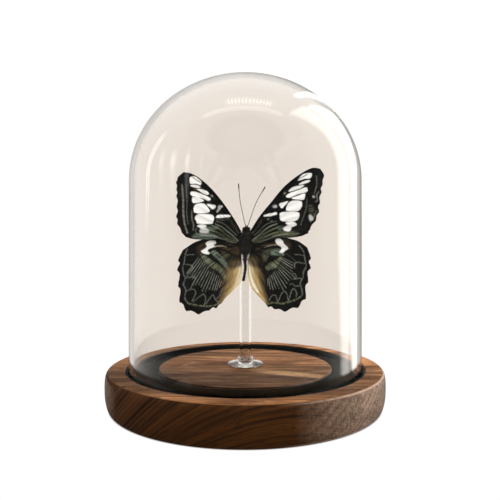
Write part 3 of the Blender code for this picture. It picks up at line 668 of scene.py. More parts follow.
def skin(grid, closed_rows=False, poles=False):
    """Points and faces of a grid (rows, columns, 3) whose columns close on themselves.

    closed_rows also joins the last row to the first. poles shrinks the first and the last row
    to one point each and closes them with triangles.
    """
    rows, columns = grid.shape[:2]
    number = np.arange(rows * columns).reshape(rows, columns)
    points = grid.reshape(-1, 3)
    if poles:
        inner = number[1:-1] - columns + 1
        number = np.vstack([np.zeros((1, columns), int), inner,
                            np.full((1, columns), inner[-1, -1] + 1)])
        points = np.vstack([grid[0, :1], grid[1:-1].reshape(-1, 3), grid[-1, :1]])
    after = np.roll(number, -1, axis=1)
    below = np.roll(number, -1, axis=0)
    below_after = np.roll(below, -1, axis=1)
    quads = np.stack([number, below, below_after, after], axis=-1)
    if not closed_rows:
        quads = quads[:-1]
    if poles:
        top = quads[0][:, [0, 1, 2]]
        bottom = quads[-1][:, [0, 1, 3]]
        return points, [quads[1:-1].reshape(-1, 4), top, bottom]
    return points, [quads.reshape(-1, 4)]


def sheet(grid):
    """Points and faces of an open grid (rows, columns, 3)."""
    rows, columns = grid.shape[:2]
    number = np.arange(rows * columns).reshape(rows, columns)
    quads = np.stack([number[:-1, :-1], number[:-1, 1:], number[1:, 1:], number[1:, :-1]], axis=-1)
    return grid.reshape(-1, 3), [quads.reshape(-1, 4)]


def swept(route, radii, sides):
    """Grid of rings along a route: point + radius (side cos a + over sin a), where side and
    over stand square to the route. Both ends shrink to a point."""
    way = np.gradient(route, axis=0)
    way /= np.linalg.norm(way, axis=1, keepdims=True)
    side = np.cross(way, np.array([0.0, 1.0, 0.0]))
    side /= np.linalg.norm(side, axis=1, keepdims=True)
    over = np.cross(way, side)
    angle = np.linspace(0.0, math.tau, sides, endpoint=False)[None, :, None]
    ring = side[:, None] * np.cos(angle) + over[:, None] * np.sin(angle)
    grid = route[:, None] + radii[:, None, None] * ring
    first = np.repeat(route[:1, None], sides, axis=1)
    last = np.repeat(route[-1:, None], sides, axis=1)
    return np.concatenate([first, grid, last])


def joined(parts):
    """Several (points, faces) as one, with the later faces renumbered."""
    points = []
    faces = []
    count = 0
    for part_points, part_faces in parts:
        points.append(part_points)
        faces += [face + count for face in part_faces]
        count += len(part_points)
    return np.vstack(points), faces


def hairs(roots, directions, lengths, radius, bend, sides=3, rings=4):
    """Many tapered hairs as closed spikes: the root plus s times the length along the direction,
    plus s^2 times the bend, with the radius shrinking as 1 - s from root to tip."""
    count = len(roots)
    share = np.linspace(0.0, 1.0, rings + 1)[None, :, None]
    spine = (roots[:, None] + share * directions[:, None] * lengths[:, None, None]
             + share**2 * bend[:, None] * lengths[:, None, None])
    side = np.cross(directions, np.array([0.31, 0.52, 0.79]))
    side /= np.linalg.norm(side, axis=1, keepdims=True)
    over = np.cross(directions, side)
    angle = np.linspace(0.0, math.tau, sides, endpoint=False)
    ring = (side[:, None, None] * np.cos(angle)[None, None, :, None]
            + over[:, None, None] * np.sin(angle)[None, None, :, None])
    width = radius * (1.0 - share[:, :-1, :, None])
    tubes = spine[:, :-1, None] + width * ring
    per_hair = rings * sides + 1
    points = np.concatenate([tubes.reshape(count, -1, 3), spine[:, -1:]], axis=1)
    number = np.arange(rings * sides).reshape(rings, sides)
    after = np.roll(number, -1, axis=1)
    quads = np.stack([number[:-1], after[:-1], after[1:], number[1:]], axis=-1).reshape(-1, 4)
    tip = np.stack([number[-1], after[-1], np.full(sides, rings * sides)], axis=-1)
    root = number[0][::-1][None]
    start = (np.arange(count) * per_hair)[:, None, None]
    return points.reshape(-1, 3), [(face[None] + start).reshape(-1, face.shape[-1])
                                   for face in (quads, tip, root)]


# Distances for the markings


def distance_to(points, path):
    """Distance of each point to a chain of stretches: the least length of p - (a + t(b - a)),
    with t held between 0 and 1."""
    start = path[:-1][None]
    step = path[1:][None] - start
    offset = points[:, None] - start
    square = np.maximum((step * step).sum(-1), 1e-9)
    t = np.clip((offset * step).sum(-1) / square, 0.0, 1.0)
    return np.linalg.norm(offset - t[..., None] * step, axis=-1).min(axis=1)


def is_within(points, outline):
    """Whether each point lies inside a closed outline: a line from it to the right crosses the
    outline an odd number of times."""
    x, y = points[:, :1], points[:, 1:]
    x0, y0 = outline[:-1].T
    x1, y1 = outline[1:].T
    crosses = (y0 > y) != (y1 > y)
    drop = np.where(np.abs(y1 - y0) < 1e-9, 1e-9, y1 - y0)
    return (crosses & (x < x0 + (y - y0) * (x1 - x0) / drop)).sum(axis=1) % 2 == 1


def marking(points, mark):
    """How strongly one marking covers each point, from 0 to 1."""
    strength, form, width = mark[1:4]
    wobble = 0.11 * ripple(points[:, 0] / 1.1, points[:, 1] / 1.1, 7)
    if form == "patch":
        outline = closed_curve(mark[4])
        depth = distance_to(points, outline) * np.where(is_within(points, outline), 1.0, -1.0)
        return strength * smoothstep(-0.5 * width, 0.5 * width, depth + wobble)
    if form == "stroke":
        line = spaced(mark[4], 6 * len(mark[4]))
        away = distance_to(points, line) + wobble
        return strength * (1.0 - smoothstep(0.3 * width, 0.9 * width, away))
    count, starts, ends = mark[4:]
    cover = np.zeros(len(points))
    lengths = 1.0 - 0.22 * np.abs(np.sin(2.4 * np.arange(count + 1)))
    for start, end, length in zip(spaced(starts, count), spaced(ends, count), lengths):
        line = np.array([start, start + length * (end - start)])
        away = distance_to(points, line)
        cover = np.maximum(cover, 1.0 - smoothstep(0.5 * width, 1.6 * width, away))
    return strength * cover


# Meshes and objects


def add_piece(name, shape, materials, stands_for, values=None, sharp=None):
    """Write points and faces into a mesh, make its object, hang it on the body's empty and hide the
    frame's nodes that it stands for.
    """
    points, faces = shape
    mesh = bpy.data.meshes.new(name)
    mesh.vertices.add(len(points))
    mesh.vertices.foreach_set("co", (points * MM).astype(np.float32).ravel())
    corners = np.concatenate([face.ravel() for face in faces]).astype(np.int32)
    sizes = np.concatenate([np.full(len(face), face.shape[1]) for face in faces])
    starts = np.concatenate([[0], np.cumsum(sizes)[:-1]]).astype(np.int32)
    mesh.loops.add(len(corners))
    mesh.loops.foreach_set("vertex_index", corners)
    mesh.polygons.add(len(starts))
    mesh.polygons.foreach_set("loop_start", starts)
    mesh.update(calc_edges=True)
    mesh.validate()
    for key, value in (values or {}).items():
        layer = mesh.attributes.new(key, "FLOAT", "POINT")
        layer.data.foreach_set("value", value.astype(np.float32))
    mesh.shade_smooth()
    if sharp:
        mesh.set_sharp_from_angle(angle=math.radians(sharp))
    for material in materials:
        mesh.materials.append(material)
    obj = bpy.data.objects.new(name, mesh)
    bpy.context.scene.collection.objects.link(obj)
    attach(obj, BODY)
    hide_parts(*stands_for)
    return obj


# Node helpers


class Value:
    """What a node gives. Each sign of arithmetic after it adds one Math node."""

    def __init__(self, tree, socket):
        self.tree = tree
        self.socket = socket

    def output(self, name):
        """Another output of the same node."""
        return Value(self.tree, self.socket.node.outputs[name])

    def __add__(self, other):
        return calculate("ADD", self, other)

    def __sub__(self, other):
        return calculate("SUBTRACT", self, other)

    def __mul__(self, other):
        return calculate("MULTIPLY", self, other)

    def __truediv__(self, other):
        return calculate("DIVIDE", self, other)


def set_inputs(node, inputs):
    """Link each value to its input, and write each constant into it."""
    for key, value in inputs.items():
        if isinstance(value, Value):
            value.tree.links.new(value.socket, node.inputs[key])
        else:
            node.inputs[key].default_value = value


def add_node(tree, kind, output=0, inputs=(), **settings):
    """Add a node and give one of its outputs."""
    made = tree.nodes.new(kind)
    for key, value in settings.items():
        setattr(made, key, value)
    set_inputs(made, dict(inputs))
    return Value(tree, made.outputs[output])


def colour(value, scale=1.0):
    """A colour setting as the four numbers that a node's input takes."""
    return (*(scale * part for part in value), 1.0)


def mix(share, first, second, blend="MIX"):
    """Mix two colours by a share."""
    tree = next(value.tree for value in (share, first, second) if isinstance(value, Value))
    return add_node(tree, "ShaderNodeMix", 2, {0: share, 6: first, 7: second},
                    data_type="RGBA", blend_type=blend)


def calculate(operation, first, *others):
    """One step of arithmetic."""
    return add_node(first.tree, "ShaderNodeMath", 0, dict(enumerate((first, *others))),
                    operation=operation)


def spread(value, low, high, to_low=0.0, to_high=1.0):
    """Map a range of values to another, held at both ends."""
    return add_node(value.tree, "ShaderNodeMapRange", "Result",
                    {"Value": value, "From Min": low, "From Max": high,
                     "To Min": to_low, "To Max": to_high})


def strip(place, low, high, soft):
    """1 between two places and 0 outside them, with soft ends."""
    return spread(place, low, low + soft) * spread(place, high - soft, high, 1.0, 0.0)


def xyz(vector):
    """The X, Y and Z of a vector."""
    made = add_node(vector.tree, "ShaderNodeSeparateXYZ", 0, {0: vector})
    return [made.output(axis) for axis in "XYZ"]


def combined(**axes):
    """A vector from its X, Y and Z."""
    return add_node(axes["X"].tree, "ShaderNodeCombineXYZ", 0, axes)


def length_of(vector):
    """The length of a vector."""
    return add_node(vector.tree, "ShaderNodeVectorMath", "Value", {0: vector}, operation="LENGTH")


def object_place(tree):
    """The place on the piece, in its own coordinates."""
    return add_node(tree, "ShaderNodeTexCoord", "Object")


def noise(tree, scale, detail, roughness=0.55, distortion=0.0, turn=(0.0, 0.0, 0.0), place=None):
    """Noise between 0 and 1, on the place on the piece or on another, turned and stretched by
    one scale or by three."""
    if place is None:
        place = object_place(tree)
    if isinstance(scale, float):
        scale = (scale, scale, scale)
    stretched = add_node(tree, "ShaderNodeMapping", 0,
                         {"Vector": place, "Scale": scale, "Rotation": turn})
    return add_node(tree, "ShaderNodeTexNoise", 0,
                    {"Vector": stretched, "Scale": 1.0, "Detail": detail,
                     "Roughness": roughness, "Distortion": distortion})


def bump(height, depth, strength):
    """Turn a height between 0 and 1 into a bumped normal of that depth in metres."""
    return add_node(height.tree, "ShaderNodeBump", 0,
                    {"Height": height, "Distance": depth, "Strength": strength})


def attribute(tree, name):
    """A value that each vertex carries."""
    return add_node(tree, "ShaderNodeAttribute", "Fac", attribute_name=name)


def new_material(name):
    """An empty node material and its tree."""
    material = bpy.data.materials.new(name)
    material.use_nodes = True
    return material, material.node_tree


def finished(material, inputs):
    """The material, with the inputs of its Principled shader set or linked."""
    set_inputs(material.node_tree.nodes["Principled BSDF"], inputs)
    return material


# Materials


def growth_rings(place, spacing):
    """Yearly rings round the heart of the log, which lies 30 mm below the base."""
    shifted = add_node(place.tree, "ShaderNodeVectorMath", 0, {0: place, 1: FROM_LOG_HEART},
                       operation="ADD")
    return add_node(place.tree, "ShaderNodeTexWave", "Fac",
                    {"Vector": shifted, "Scale": math.tau / (20.0 * spacing),
                     "Distortion": 2.2, "Detail": 2.0, "Detail Scale": 0.8},
                    wave_type="RINGS", rings_direction="X", wave_profile="SAW")


def walnut(settings):
    """Oiled walnut cut from a board: fine fibres, darker bands and growth rings that run along
    X, with pores drawn out the same way. Painted light makes the top darkest on the front half
    of its disc and lighter towards +Y, +X and the front rim, and a streak of pale sapwood
    crosses its middle. On the side the bands rise in a long arch and painted shade makes the
    colour much darker, and at both ends of X the end grain shows as ring arcs under pale broken
    flecks, whose paleness is partly a painted sheen. A painted highlight runs along the rim's
    edge towards +X."""
    material, tree = new_material("oiled_walnut")
    lean = (noise(tree, (11.0, 20.0, 20.0), 2.0) - 0.5) * 0.020
    place = object_place(tree)
    along, across, up = xyz(place)
    over = across + lean
    middle = along - 0.018
    arch = middle * middle * 8.5
    top_place = combined(X=along, Y=over, Z=up + lean)
    side_place = combined(X=along, Y=0.0, Z=up + arch + lean * 0.12)
    facing_x, _, facing_z = xyz(add_node(tree, "ShaderNodeTexCoord", "Normal"))
    flat = calculate("ABSOLUTE", facing_z)
    side = spread(flat, 0.78, 0.95, 1.0, 0.0)
    chosen = add_node(tree, "ShaderNodeMix", 1, {0: side, 4: top_place, 5: side_place},
                      data_type="VECTOR")

    bands = noise(tree, (7.0, 190.0, 190.0), 3.0, 0.6, place=chosen)
    streaks = noise(tree, (16.0, 640.0, 640.0), 4.0, 0.7, place=chosen)
    fibres = noise(tree, (70.0, 2400.0, 2400.0), 2.0, 0.6, place=chosen)
    clouds = noise(tree, (14.0, 50.0, 50.0), 2.0, 0.6, place=chosen)
    pores = noise(tree, (230.0, 2900.0, 2900.0), 1.0, 0.6, place=chosen)
    shade = (spread(bands, 0.30, 0.70) * 0.40 + spread(streaks, 0.32, 0.68) * 0.42
             + growth_rings(chosen, settings.ring_spacing) * 0.18)

    warm = mix(spread(shade, 0.50, 0.82), colour(settings.light), colour(settings.dark))
    warm = mix(spread(shade, 0.18, 0.44, 0.8, 0.0), warm, colour(settings.streak))
    warm = mix(spread(clouds, 0.48, 0.7, 0.0, 0.75), warm, colour(settings.dark))
    # Painted light: the top's colour is multiplied darker over the front half of the disc and lighter
    # towards +Y, towards +X and on the front rim.
    back = spread(across, -0.020, 0.016, 0.60, 1.6)
    front = spread(across, -0.066, -0.052, 0.60, 0.0)
    warm = mix(1.0, warm, (back + front) * spread(along, -0.07, 0.07, 0.75, 1.38), "MULTIPLY")

    # Painted shade: the side's colours are far darker than the top's, standing in for the shade on the
    # side of the base.
    oiled_and_shaded = mix(spread(shade, 0.34, 0.72), colour(settings.side_streak), colour(settings.side))
    oiled_and_shaded = mix(spread(shade, 0.66, 0.9, 0.0, 0.85), oiled_and_shaded, colour(SHADED_SIDE_BAND))
    # The end grain at both ends of X is real; its pale colour and pale flecks are partly a painted sheen
    # from the lights at the sides.
    end_and_sheen_share = calculate("MAXIMUM", spread(facing_x, 0.28, 0.72),
                          spread(facing_x, -0.80, -0.95, 0.0, 0.85))
    flecks = noise(tree, (1500.0, 1500.0, 420.0), 2.0, 0.7, turn=(0.5, 0.25, 0.0))
    slow = noise(tree, (60.0, 60.0, 210.0), 2.0)
    cut = mix(spread(slow, 0.35, 0.65), colour(settings.end_grain, 0.62),
              colour(settings.end_grain))
    cut = mix(spread(growth_rings(place, settings.ring_spacing), 0.45, 1.0, 0.0, 0.7), cut,
              colour(settings.end_grain, 0.34))
    cut = mix(spread(flecks, 0.52, 0.66, 0.0, 0.6), cut, colour(settings.end_grain, 1.45))
    cut = mix(spread(flecks, 0.34, 0.46, 0.5, 0.0), cut, colour(CUT_PORE))

    wood = mix(side, warm, mix(end_and_sheen_share, oiled_and_shaded, cut))
    # Painted highlight: a pale line along the rim's rounded edge on the side that faces +X.
    painted_edge_highlight = strip(flat, 0.42, 0.92, 0.18) * spread(facing_x, 0.15, 0.5, 0.0, 0.5)
    wood = mix(painted_edge_highlight, wood, colour(PAINTED_EDGE_HIGHLIGHT))
    wood = mix(spread(fibres, 0.42, 0.72, 0.0, 0.42), wood, colour(FIBRE))
    from_middle = along - 0.025
    slanted = from_middle * 0.30 + (over + 0.0185)
    sapwood = spread(length_of(combined(X=from_middle * 36.0, Y=slanted * 190.0)),
                     0.45, 1.0, 1.0, 0.0)
    sapwood = sapwood * spread(streaks, 0.40, 0.66, 1.0, 0.35)
    wood = mix(sapwood * spread(flat, 0.9, 1.0, 0.0, 0.8), wood, colour(settings.sapwood))
    open_pores = spread(pores, 0.62, 0.70)
    wood = mix(open_pores * 0.8, wood, colour(OPEN_PORE))
    relief = fibres * 0.5 - open_pores * 0.7 + flecks * end_and_sheen_share
    return finished(material, {
        "Base Color": wood,
        "Roughness": spread(shade, 0.3, 0.8, 0.42, 0.60),
        "Specular IOR Level": 0.02,
        "Normal": bump(relief, 0.00014, 0.8),
    })


def felt(settings):
    """Dark wool felt: matted fibres in two sizes, a few paler hairs and dust, and a soft sheen."""
    material, tree = new_material("groove_felt")
    coarse = noise(tree, 900.0, 4.0, 0.65, 0.8)
    matted = noise(tree, 4200.0, 3.0, 0.7, 1.6)
    dust = noise(tree, 5200.0, 0.0)
    shade = mix(spread(coarse, 0.3, 0.7), colour(settings.colour, 0.5), colour(settings.colour, 1.9))
    shade = mix(spread(matted, 0.55, 0.75, 0.0, 0.5), shade, colour(PALE_WOOL))
    shade = mix(spread(dust, 0.80, 0.86, 0.0, 0.6), shade, colour(DUST))
    return finished(material, {
        "Base Color": shade,
        "Roughness": 0.95,
        "Specular IOR Level": 0.15,
        "Sheen Weight": 0.06,
        "Sheen Roughness": 0.4,
        "Sheen Tint": (0.6, 0.7, 0.62, 1.0),
        "Normal": bump(coarse + matted, 0.00016, 0.9),
    })


def clear_glass(name, settings, seeds=True):
    """Colourless glass by plain transmission, with a trace of bump from blowing."""
    material, tree = new_material(name)
    inputs = {
        "Base Color": colour(settings.tint),
        "Transmission Weight": 1.0,
        "Roughness": 0.0,
        "IOR": settings.ior,
    }
    if seeds:
        inputs["Normal"] = bump(noise(tree, (60.0, 60.0, 14.0), 1.0), 0.0005, 0.04)
    return finished(material, inputs)


def wing_scales(name, settings, paler):
    """Wing scales: each marking layer is mixed in where its vertex value says, broken up by
    noise of a scale's size, over black scales with faint streaks. The underside is paler."""
    material, tree = new_material(name)
    grain = noise(tree, 5200.0, 2.0, 0.7)
    tufts = noise(tree, 1050.0, 3.0, 0.7)
    drifts = noise(tree, (420.0, 420.0, 90.0), 3.0, 0.55)
    scales = mix(spread(drifts, 0.50, 0.78, 0.0, 0.7), colour(settings.black),
                 colour(settings.black, 4.2))
    scales = mix(spread(tufts, 0.55, 0.8, 0.0, 0.5), scales, colour(OLIVE_TUFT))
    if paler:
        scales = mix(0.35, scales, colour(PALE_UNDERSIDE))
    broken_up = tufts * 0.62 + attribute(tree, "rows") * 0.38
    for layer, broken in LAYERS.items():
        tone = settings.black if layer == "dark" else getattr(settings, layer)
        gaps = spread(broken_up, 0.36, 0.60, 1.0 - broken, 1.0)
        scales = mix(attribute(tree, layer) * gaps, scales, colour(tone))
    veins = attribute(tree, "vein")
    scales = mix(veins * 0.55, scales, colour(VEIN))
    shadowed = mix(1.0, scales, (0.45, 0.45, 0.45, 1.0), "MULTIPLY")
    return finished(material, {
        "Base Color": mix(spread(grain, 0.35, 0.65, 0.0, 0.22), scales, shadowed),
        "Roughness": 0.62,
        "Specular IOR Level": 0.10,
        "Sheen Weight": 0.02,
        "Sheen Roughness": 0.35,
        "Normal": bump(grain + veins * 1.5, 0.00005, 0.6),
    })


def body_skin(name, settings, lighter=1.0):
    """Dark chitin under short scales, a little glossy, in patches of two sizes."""
    material, tree = new_material(name)
    patches = noise(tree, 900.0, 3.0, 0.6)
    grain = noise(tree, 6000.0, 2.0, 0.7)
    shade = mix(spread(patches, 0.4, 0.7), colour(settings.colour, 0.7 * lighter),
                colour(settings.colour, 3.0 * lighter))
    shade = mix(spread(grain, 0.6, 0.75, 0.0, 0.5), shade, colour(PALE_CHITIN))
    return finished(material, {
        "Base Color": shade,
        "Roughness": spread(grain, 0.3, 0.7, 0.38, 0.65),
        "Specular IOR Level": 0.18,
        "Normal": bump(grain, 0.00008, 0.7),
    })


def hair_coat():
    """Grey and black hairs, mixed from tuft to tuft, with a white tuft on either side of the
    waist."""
    material, tree = new_material("body_hair")
    pale = attribute(tree, "pale")
    share = spread(noise(tree, 1500.0, 2.0), 0.48, 0.7) * pale
    shade = mix(share, colour(BLACK_HAIR), colour(GREY_HAIR))
    shade = mix(spread(pale, 1.5, 2.5), shade, colour(WHITE_HAIR))
    return finished(material, {"Base Color": shade, "Roughness": 0.5, "Specular IOR Level": 0.15})


# Operators, one for each piece or group of like pieces


class DOME_OT_walnut_base(bpy.types.Operator):
    """Make the turned walnut base with its ring groove. The shoulder of the side is the curve
    (r / a)^3.6 + (z / b)^3.6 = 1, which is nearly square at its upper edge."""

    bl_idname = "butterfly_dome.walnut_base"
    bl_label = "Walnut base"

    def execute(self, context):
        settings = context.scene.dome_walnut
        floor = BASE_TOP - GROOVE_DEPTH
        top = rounded([
            (0.0, BASE_TOP),
            (GROOVE_INNER_RADIUS, BASE_TOP),
            (GROOVE_INNER_RADIUS, floor),
            (GROOVE_OUTER_RADIUS, floor),
            (GROOVE_OUTER_RADIUS, BASE_TOP),
            (RIM_EDGE_RADIUS, BASE_TOP),
        ], EDGE_ROUNDING)
        turn = np.radians(np.linspace(90.0, 0.0, 33))
        reach = np.array([BASE_RADIUS - RIM_EDGE_RADIUS, BASE_TOP - BASE_FULLEST_Z])
        upper = np.stack([np.cos(turn), np.sin(turn)], axis=1).clip(0.0)**(2.0 / SHOULDER_POWER)
        upper = np.array([RIM_EDGE_RADIUS, BASE_FULLEST_Z]) + reach * upper
        lower = oval_arc((BASE_UNDERSIDE_RADIUS, BASE_FULLEST_Z),
                         (BASE_RADIUS - BASE_UNDERSIDE_RADIUS, BASE_FULLEST_Z), 0, -90, 20)
        profile = np.vstack([top[:-1], upper, lower[1:], [(0.0, 0.0)]])
        shape = skin(turned(divided(profile, 4.0), settings.steps), poles=True)
        add_piece("walnut_base", shape, [walnut(settings)], ["base"], sharp=50)
        return {"FINISHED"}


class DOME_OT_groove_felt(bpy.types.Operator):
    """Make the felt lining of the groove, with an uneven pile"""

    bl_idname = "butterfly_dome.groove_felt"
    bl_label = "Groove felt"

    def execute(self, context):
        settings = context.scene.dome_felt
        inner, outer = FELT_INNER_RADIUS, FELT_OUTER_RADIUS
        bottom, top = FELT_LOW[2], FELT_HIGH[2]
        profile = rounded([
            (inner, top), (inner + FELT, top), (inner + FELT, bottom + FELT),
            (outer - FELT, bottom + FELT), (outer - FELT, top), (outer, top),
            (outer, bottom), (inner, bottom),
        ], 0.22, closed=True)
        profile = divided(profile, 0.9, closed=True)
        grid = turned(profile, 480)
        angle = np.arctan2(grid[..., 1], grid[..., 0])
        middle_radius = 53.0
        tuft = 0.9
        along = middle_radius * angle / tuft
        down = np.arange(len(profile))[:, None] * 0.8
        rise = settings.fuzz / MM * ripple(along, down, 11)
        centre = profile.mean(axis=0)
        away = profile - centre
        away /= np.linalg.norm(away, axis=1, keepdims=True)
        grid[..., 0] += rise * away[:, :1] * np.cos(angle)
        grid[..., 1] += rise * away[:, :1] * np.sin(angle)
        grid[..., 2] += rise * away[:, 1:]
        shape = skin(grid, closed_rows=True)
        add_piece("felt_lining", shape, [felt(settings)], ["groove_felt"])
        return {"FINISHED"}


class DOME_OT_glass_dome(bpy.types.Operator):
    """Make the blown glass dome, with a faintly wavy wall and a rounded lower rim"""

    bl_idname = "butterfly_dome.glass_dome"
    bl_label = "Glass dome"

    def execute(self, context):
        settings = context.scene.dome_glass
        cap = DOME_APEX_Z - DOME_SHOULDER_Z
        centre = (0.0, DOME_SHOULDER_Z)
        inside = DOME_RADIUS - DOME_WALL
        outer = oval_arc(centre, (DOME_RADIUS, cap), 90, 0, 72)
        inner = oval_arc(centre, (inside, cap - DOME_WALL), 0, 90, 72)
        rim = rounded([
            (DOME_RADIUS, DOME_SHOULDER_Z), (DOME_RADIUS, DOME_FOOT_Z),
            (inside, DOME_FOOT_Z), (inside, DOME_SHOULDER_Z),
        ], 1.1, count=8)
        profile = np.vstack([outer[:-1], rim, inner[1:]])
        profile[0, 0] = profile[-1, 0] = 0.0
        profile = divided(profile, 3.0)
        grid = turned(profile, settings.steps)
        angle = np.arctan2(grid[..., 1], grid[..., 0])
        height = grid[..., 2]
        sway = (np.sin(2 * angle + 0.4 + height / 31.0) + 0.7 * np.sin(3 * angle - height / 19.0)
                + 0.35 * np.sin(7 * angle + height / 11.0))
        most_sway = 2.05
        stretch = 1.0 + settings.waviness / MM * (sway - most_sway) / DOME_RADIUS
        grid[..., :2] *= stretch[..., None]
        shape = skin(grid, poles=True)
        add_piece("glass_cover", shape, [clear_glass("dome_glass", settings)], ["glass_dome"])
        return {"FINISHED"}


class DOME_OT_clear_stem(bpy.types.Operator):
    """Make the clear tube and the low foot that it stands in, which is hollowed underneath so
    that only its rim touches the wood"""

    bl_idname = "butterfly_dome.clear_stem"
    bl_label = "Clear stem"

    def execute(self, context):
        settings = context.scene.dome_glass
        bottom, top = TUBE_LOW[2], TUBE_HIGH[2]
        bore = TUBE_RADIUS - TUBE_WALL
        tube = rounded([(bore, top), (TUBE_RADIUS, top), (TUBE_RADIUS, bottom), (bore, bottom)],
                       0.25, closed=True)
        shape = skin(turned(divided(tube, 6.0, closed=True), 72), closed_rows=True)
        add_piece("clear_tube", shape, [clear_glass("tube_glass", settings)], ["stem_tube"])
        clearance = 0.3
        hole = TUBE_RADIUS + clearance
        low, high = FOOT_LOW[2], FOOT_HIGH[2]
        tall = high - low
        widest = FOOT_HIGH[0]
        hollow = [(widest - 1.1, low + 0.02), (5.6, low + 0.3), (hole + 0.4, low + 0.42)]
        collar = rounded([(hole, low + 0.45), (hole, high), (hole + 0.55, high)], 0.2)
        slope = through([(hole + 0.62, high - 0.12), (hole + 0.9, low + 0.72 * tall),
                         (5.4, low + 0.52 * tall), (7.2, low + 0.40 * tall),
                         (8.6, low + 0.33 * tall), (widest - 0.12, low + 0.24 * tall),
                         (widest, low + 0.15 * tall), (widest - 0.25, low)],
                        np.linspace(0.0, 7.0, 50))
        profile = np.vstack([collar, slope, hollow])
        shape = skin(turned(profile, 128), closed_rows=True)
        add_piece("clear_foot", shape, [clear_glass("foot_glass", settings, seeds=False)],
                  ["stem_foot"], sharp=60)
        return {"FINISHED"}


def wing_grid(wing, cells, pleat):
    """A wing as a Coons patch. With u from the hinge to the margin and v from the front edge to
    the rear edge, a point is (1-v) front(u) + v rear(u) + (1-u) hinge(v) + u margin(v), less
    the same sum made from the four corners alone. The margin is the curve through the vein
    ends, cut in between each two by notch sin(pi s^0.66)^1.7, with s the share of the way
    between them. "shape" is the margin's length over that of the front edge. The veins stand
    forward of the cells by pleat cos(2 pi v n) sin(pi u^0.7).
    """
    rows = int(math.sqrt(cells / wing["shape"]))
    columns = cells // rows
    front = spaced(wing["front"], rows)
    rear = spaced(wing["rear"][::-1], rows)
    ends = len(wing["crests"]) - 1
    place = np.linspace(0.0, ends, columns + 1)
    margin = through(wing["crests"], place)
    share = place - np.floor(place)
    crests = np.array(wing["crests"])
    spans = np.linalg.norm(np.diff(crests, axis=0), axis=1)
    span = spans[np.clip(place.astype(int), 0, ends - 1)]
    root = 0.5 * (front[0] + rear[0])
    inwards = root - margin
    inwards /= np.linalg.norm(inwards, axis=1, keepdims=True)
    cut = (wing["notch"] * np.minimum(1.0, span / 4.0)
           * np.maximum(np.sin(math.pi * share**NOTCH_PEAK_POWER), 0.0)**NOTCH_ROUND_POWER)
    cut *= smoothstep(0.6, 1.4, place)
    ragged = 0.07 * ripple(place * 7.0, 0.0 * place, 5) * np.minimum(1.0, place * (ends - place))
    margin = margin + (cut + ragged)[:, None] * inwards
    u = np.linspace(0.0, 1.0, rows + 1)[:, None, None]
    v = np.linspace(0.0, 1.0, columns + 1)[None, :, None]
    hinge = front[0] + v * (rear[0] - front[0])
    corners = ((1 - u) * ((1 - v) * front[0] + v * rear[0])
               + u * ((1 - v) * front[-1] + v * rear[-1]))
    flat = ((1 - v) * front[:, None] + v * rear[:, None]
            + (1 - u) * hinge + u * margin[None] - corners)
    fold = np.cos(math.tau * v[..., 0] * ends) * np.sin(math.pi * u[..., 0]**0.7)
    vein_share = np.abs(v[..., 0] * ends - np.round(v[..., 0] * ends))
    reach = np.linalg.norm(margin[None] - root, axis=-1) * 0.55 / ends
    vein = 1.0 - smoothstep(0.05, 0.17, vein_share * np.maximum(0.2, u[..., 0] * reach / 0.9))
    vein = vein * smoothstep(0.02, 0.2, u[..., 0])
    warp = 0.25 * ripple(flat[..., 0] / 17.0, flat[..., 1] / 17.0, 23) * u[..., 0]
    depth = (wing["plane"] - WING_LIFT * (flat[..., 0] / WING_HALF_SPAN)**2
             - pleat * fold - 0.07 * vein + warp)
    grid = np.stack([flat[..., 0], depth, flat[..., 1]], axis=-1)
    fan = v[..., 0] * ends + 0.0 * u[..., 0]
    scale_rows = 0.5 + 0.5 * ripple(fan * 5.0, u[..., 0] * 2.2, 31)
    return grid, vein, scale_rows


class DOME_OT_wings(bpy.types.Operator):
    """Make the four wings with their veins and markings"""

    bl_idname = "butterfly_dome.wings"
    bl_label = "Wings"

    def execute(self, context):
        settings = context.scene.dome_wings
        upper = wing_scales("wing_upper_side", settings, paler=False)
        under = wing_scales("wing_underside", settings, paler=True)
        for name, wing in WINGS.items():
            grid, vein, rows = wing_grid(wing, settings.cells, settings.pleat / MM)
            if name.endswith("left"):
                grid, vein, rows = grid[:, ::-1], vein[:, ::-1], rows[:, ::-1]
            shape = sheet(grid)
            flat = shape[0][:, [0, 2]]
            values = {layer: np.zeros(len(flat)) for layer in LAYERS}
            for mark in MARKINGS[name]:
                cover = marking(flat, mark)
                layer = mark[0]
                values[layer] = np.maximum(values[layer], cover)
            values["rows"] = rows.ravel()
            values["vein"] = vein.ravel() * (1.0 - np.maximum(values["cream"], values["gold"]))
            wing_object = add_piece(name + "_scaled", shape, [upper, under], [name],
                                    values)
            shell = wing_object.modifiers.new("thickness", "SOLIDIFY")
            shell.thickness = settings.thickness
            shell.offset = 0.0
            shell.material_offset = 1
        return {"FINISHED"}


def body_grid(rows, sides):
    """The body as elliptical rings: centre + (w cos a, 0.88 w sin a), where height, centre and
    half width w follow a smooth curve through the measured rings. The abdomen is ringed by
    six shallow waves."""
    rings = through(BODY_RINGS, np.linspace(0.0, len(BODY_RINGS) - 1.0, rows))
    rings[:, 3] = np.maximum(rings[:, 3], 0.0)
    rings[0, 3] = rings[-1, 3] = 0.0
    angle = np.linspace(0.0, math.tau, sides, endpoint=False)[None, :]
    waves = 0.045 * np.sin(math.tau * rings[:, 0] / 1.9) * (rings[:, 0] < 73.5)
    width = (rings[:, 3] + waves * (rings[:, 3] > 0.2))[:, None]
    x = rings[:, 1:2] + width * np.cos(angle)
    y = rings[:, 2:3] + BODY_DEPTH_SHARE * width * np.sin(angle)
    z = rings[:, :1] + 0.0 * angle
    return np.stack([x, y, z], axis=-1)


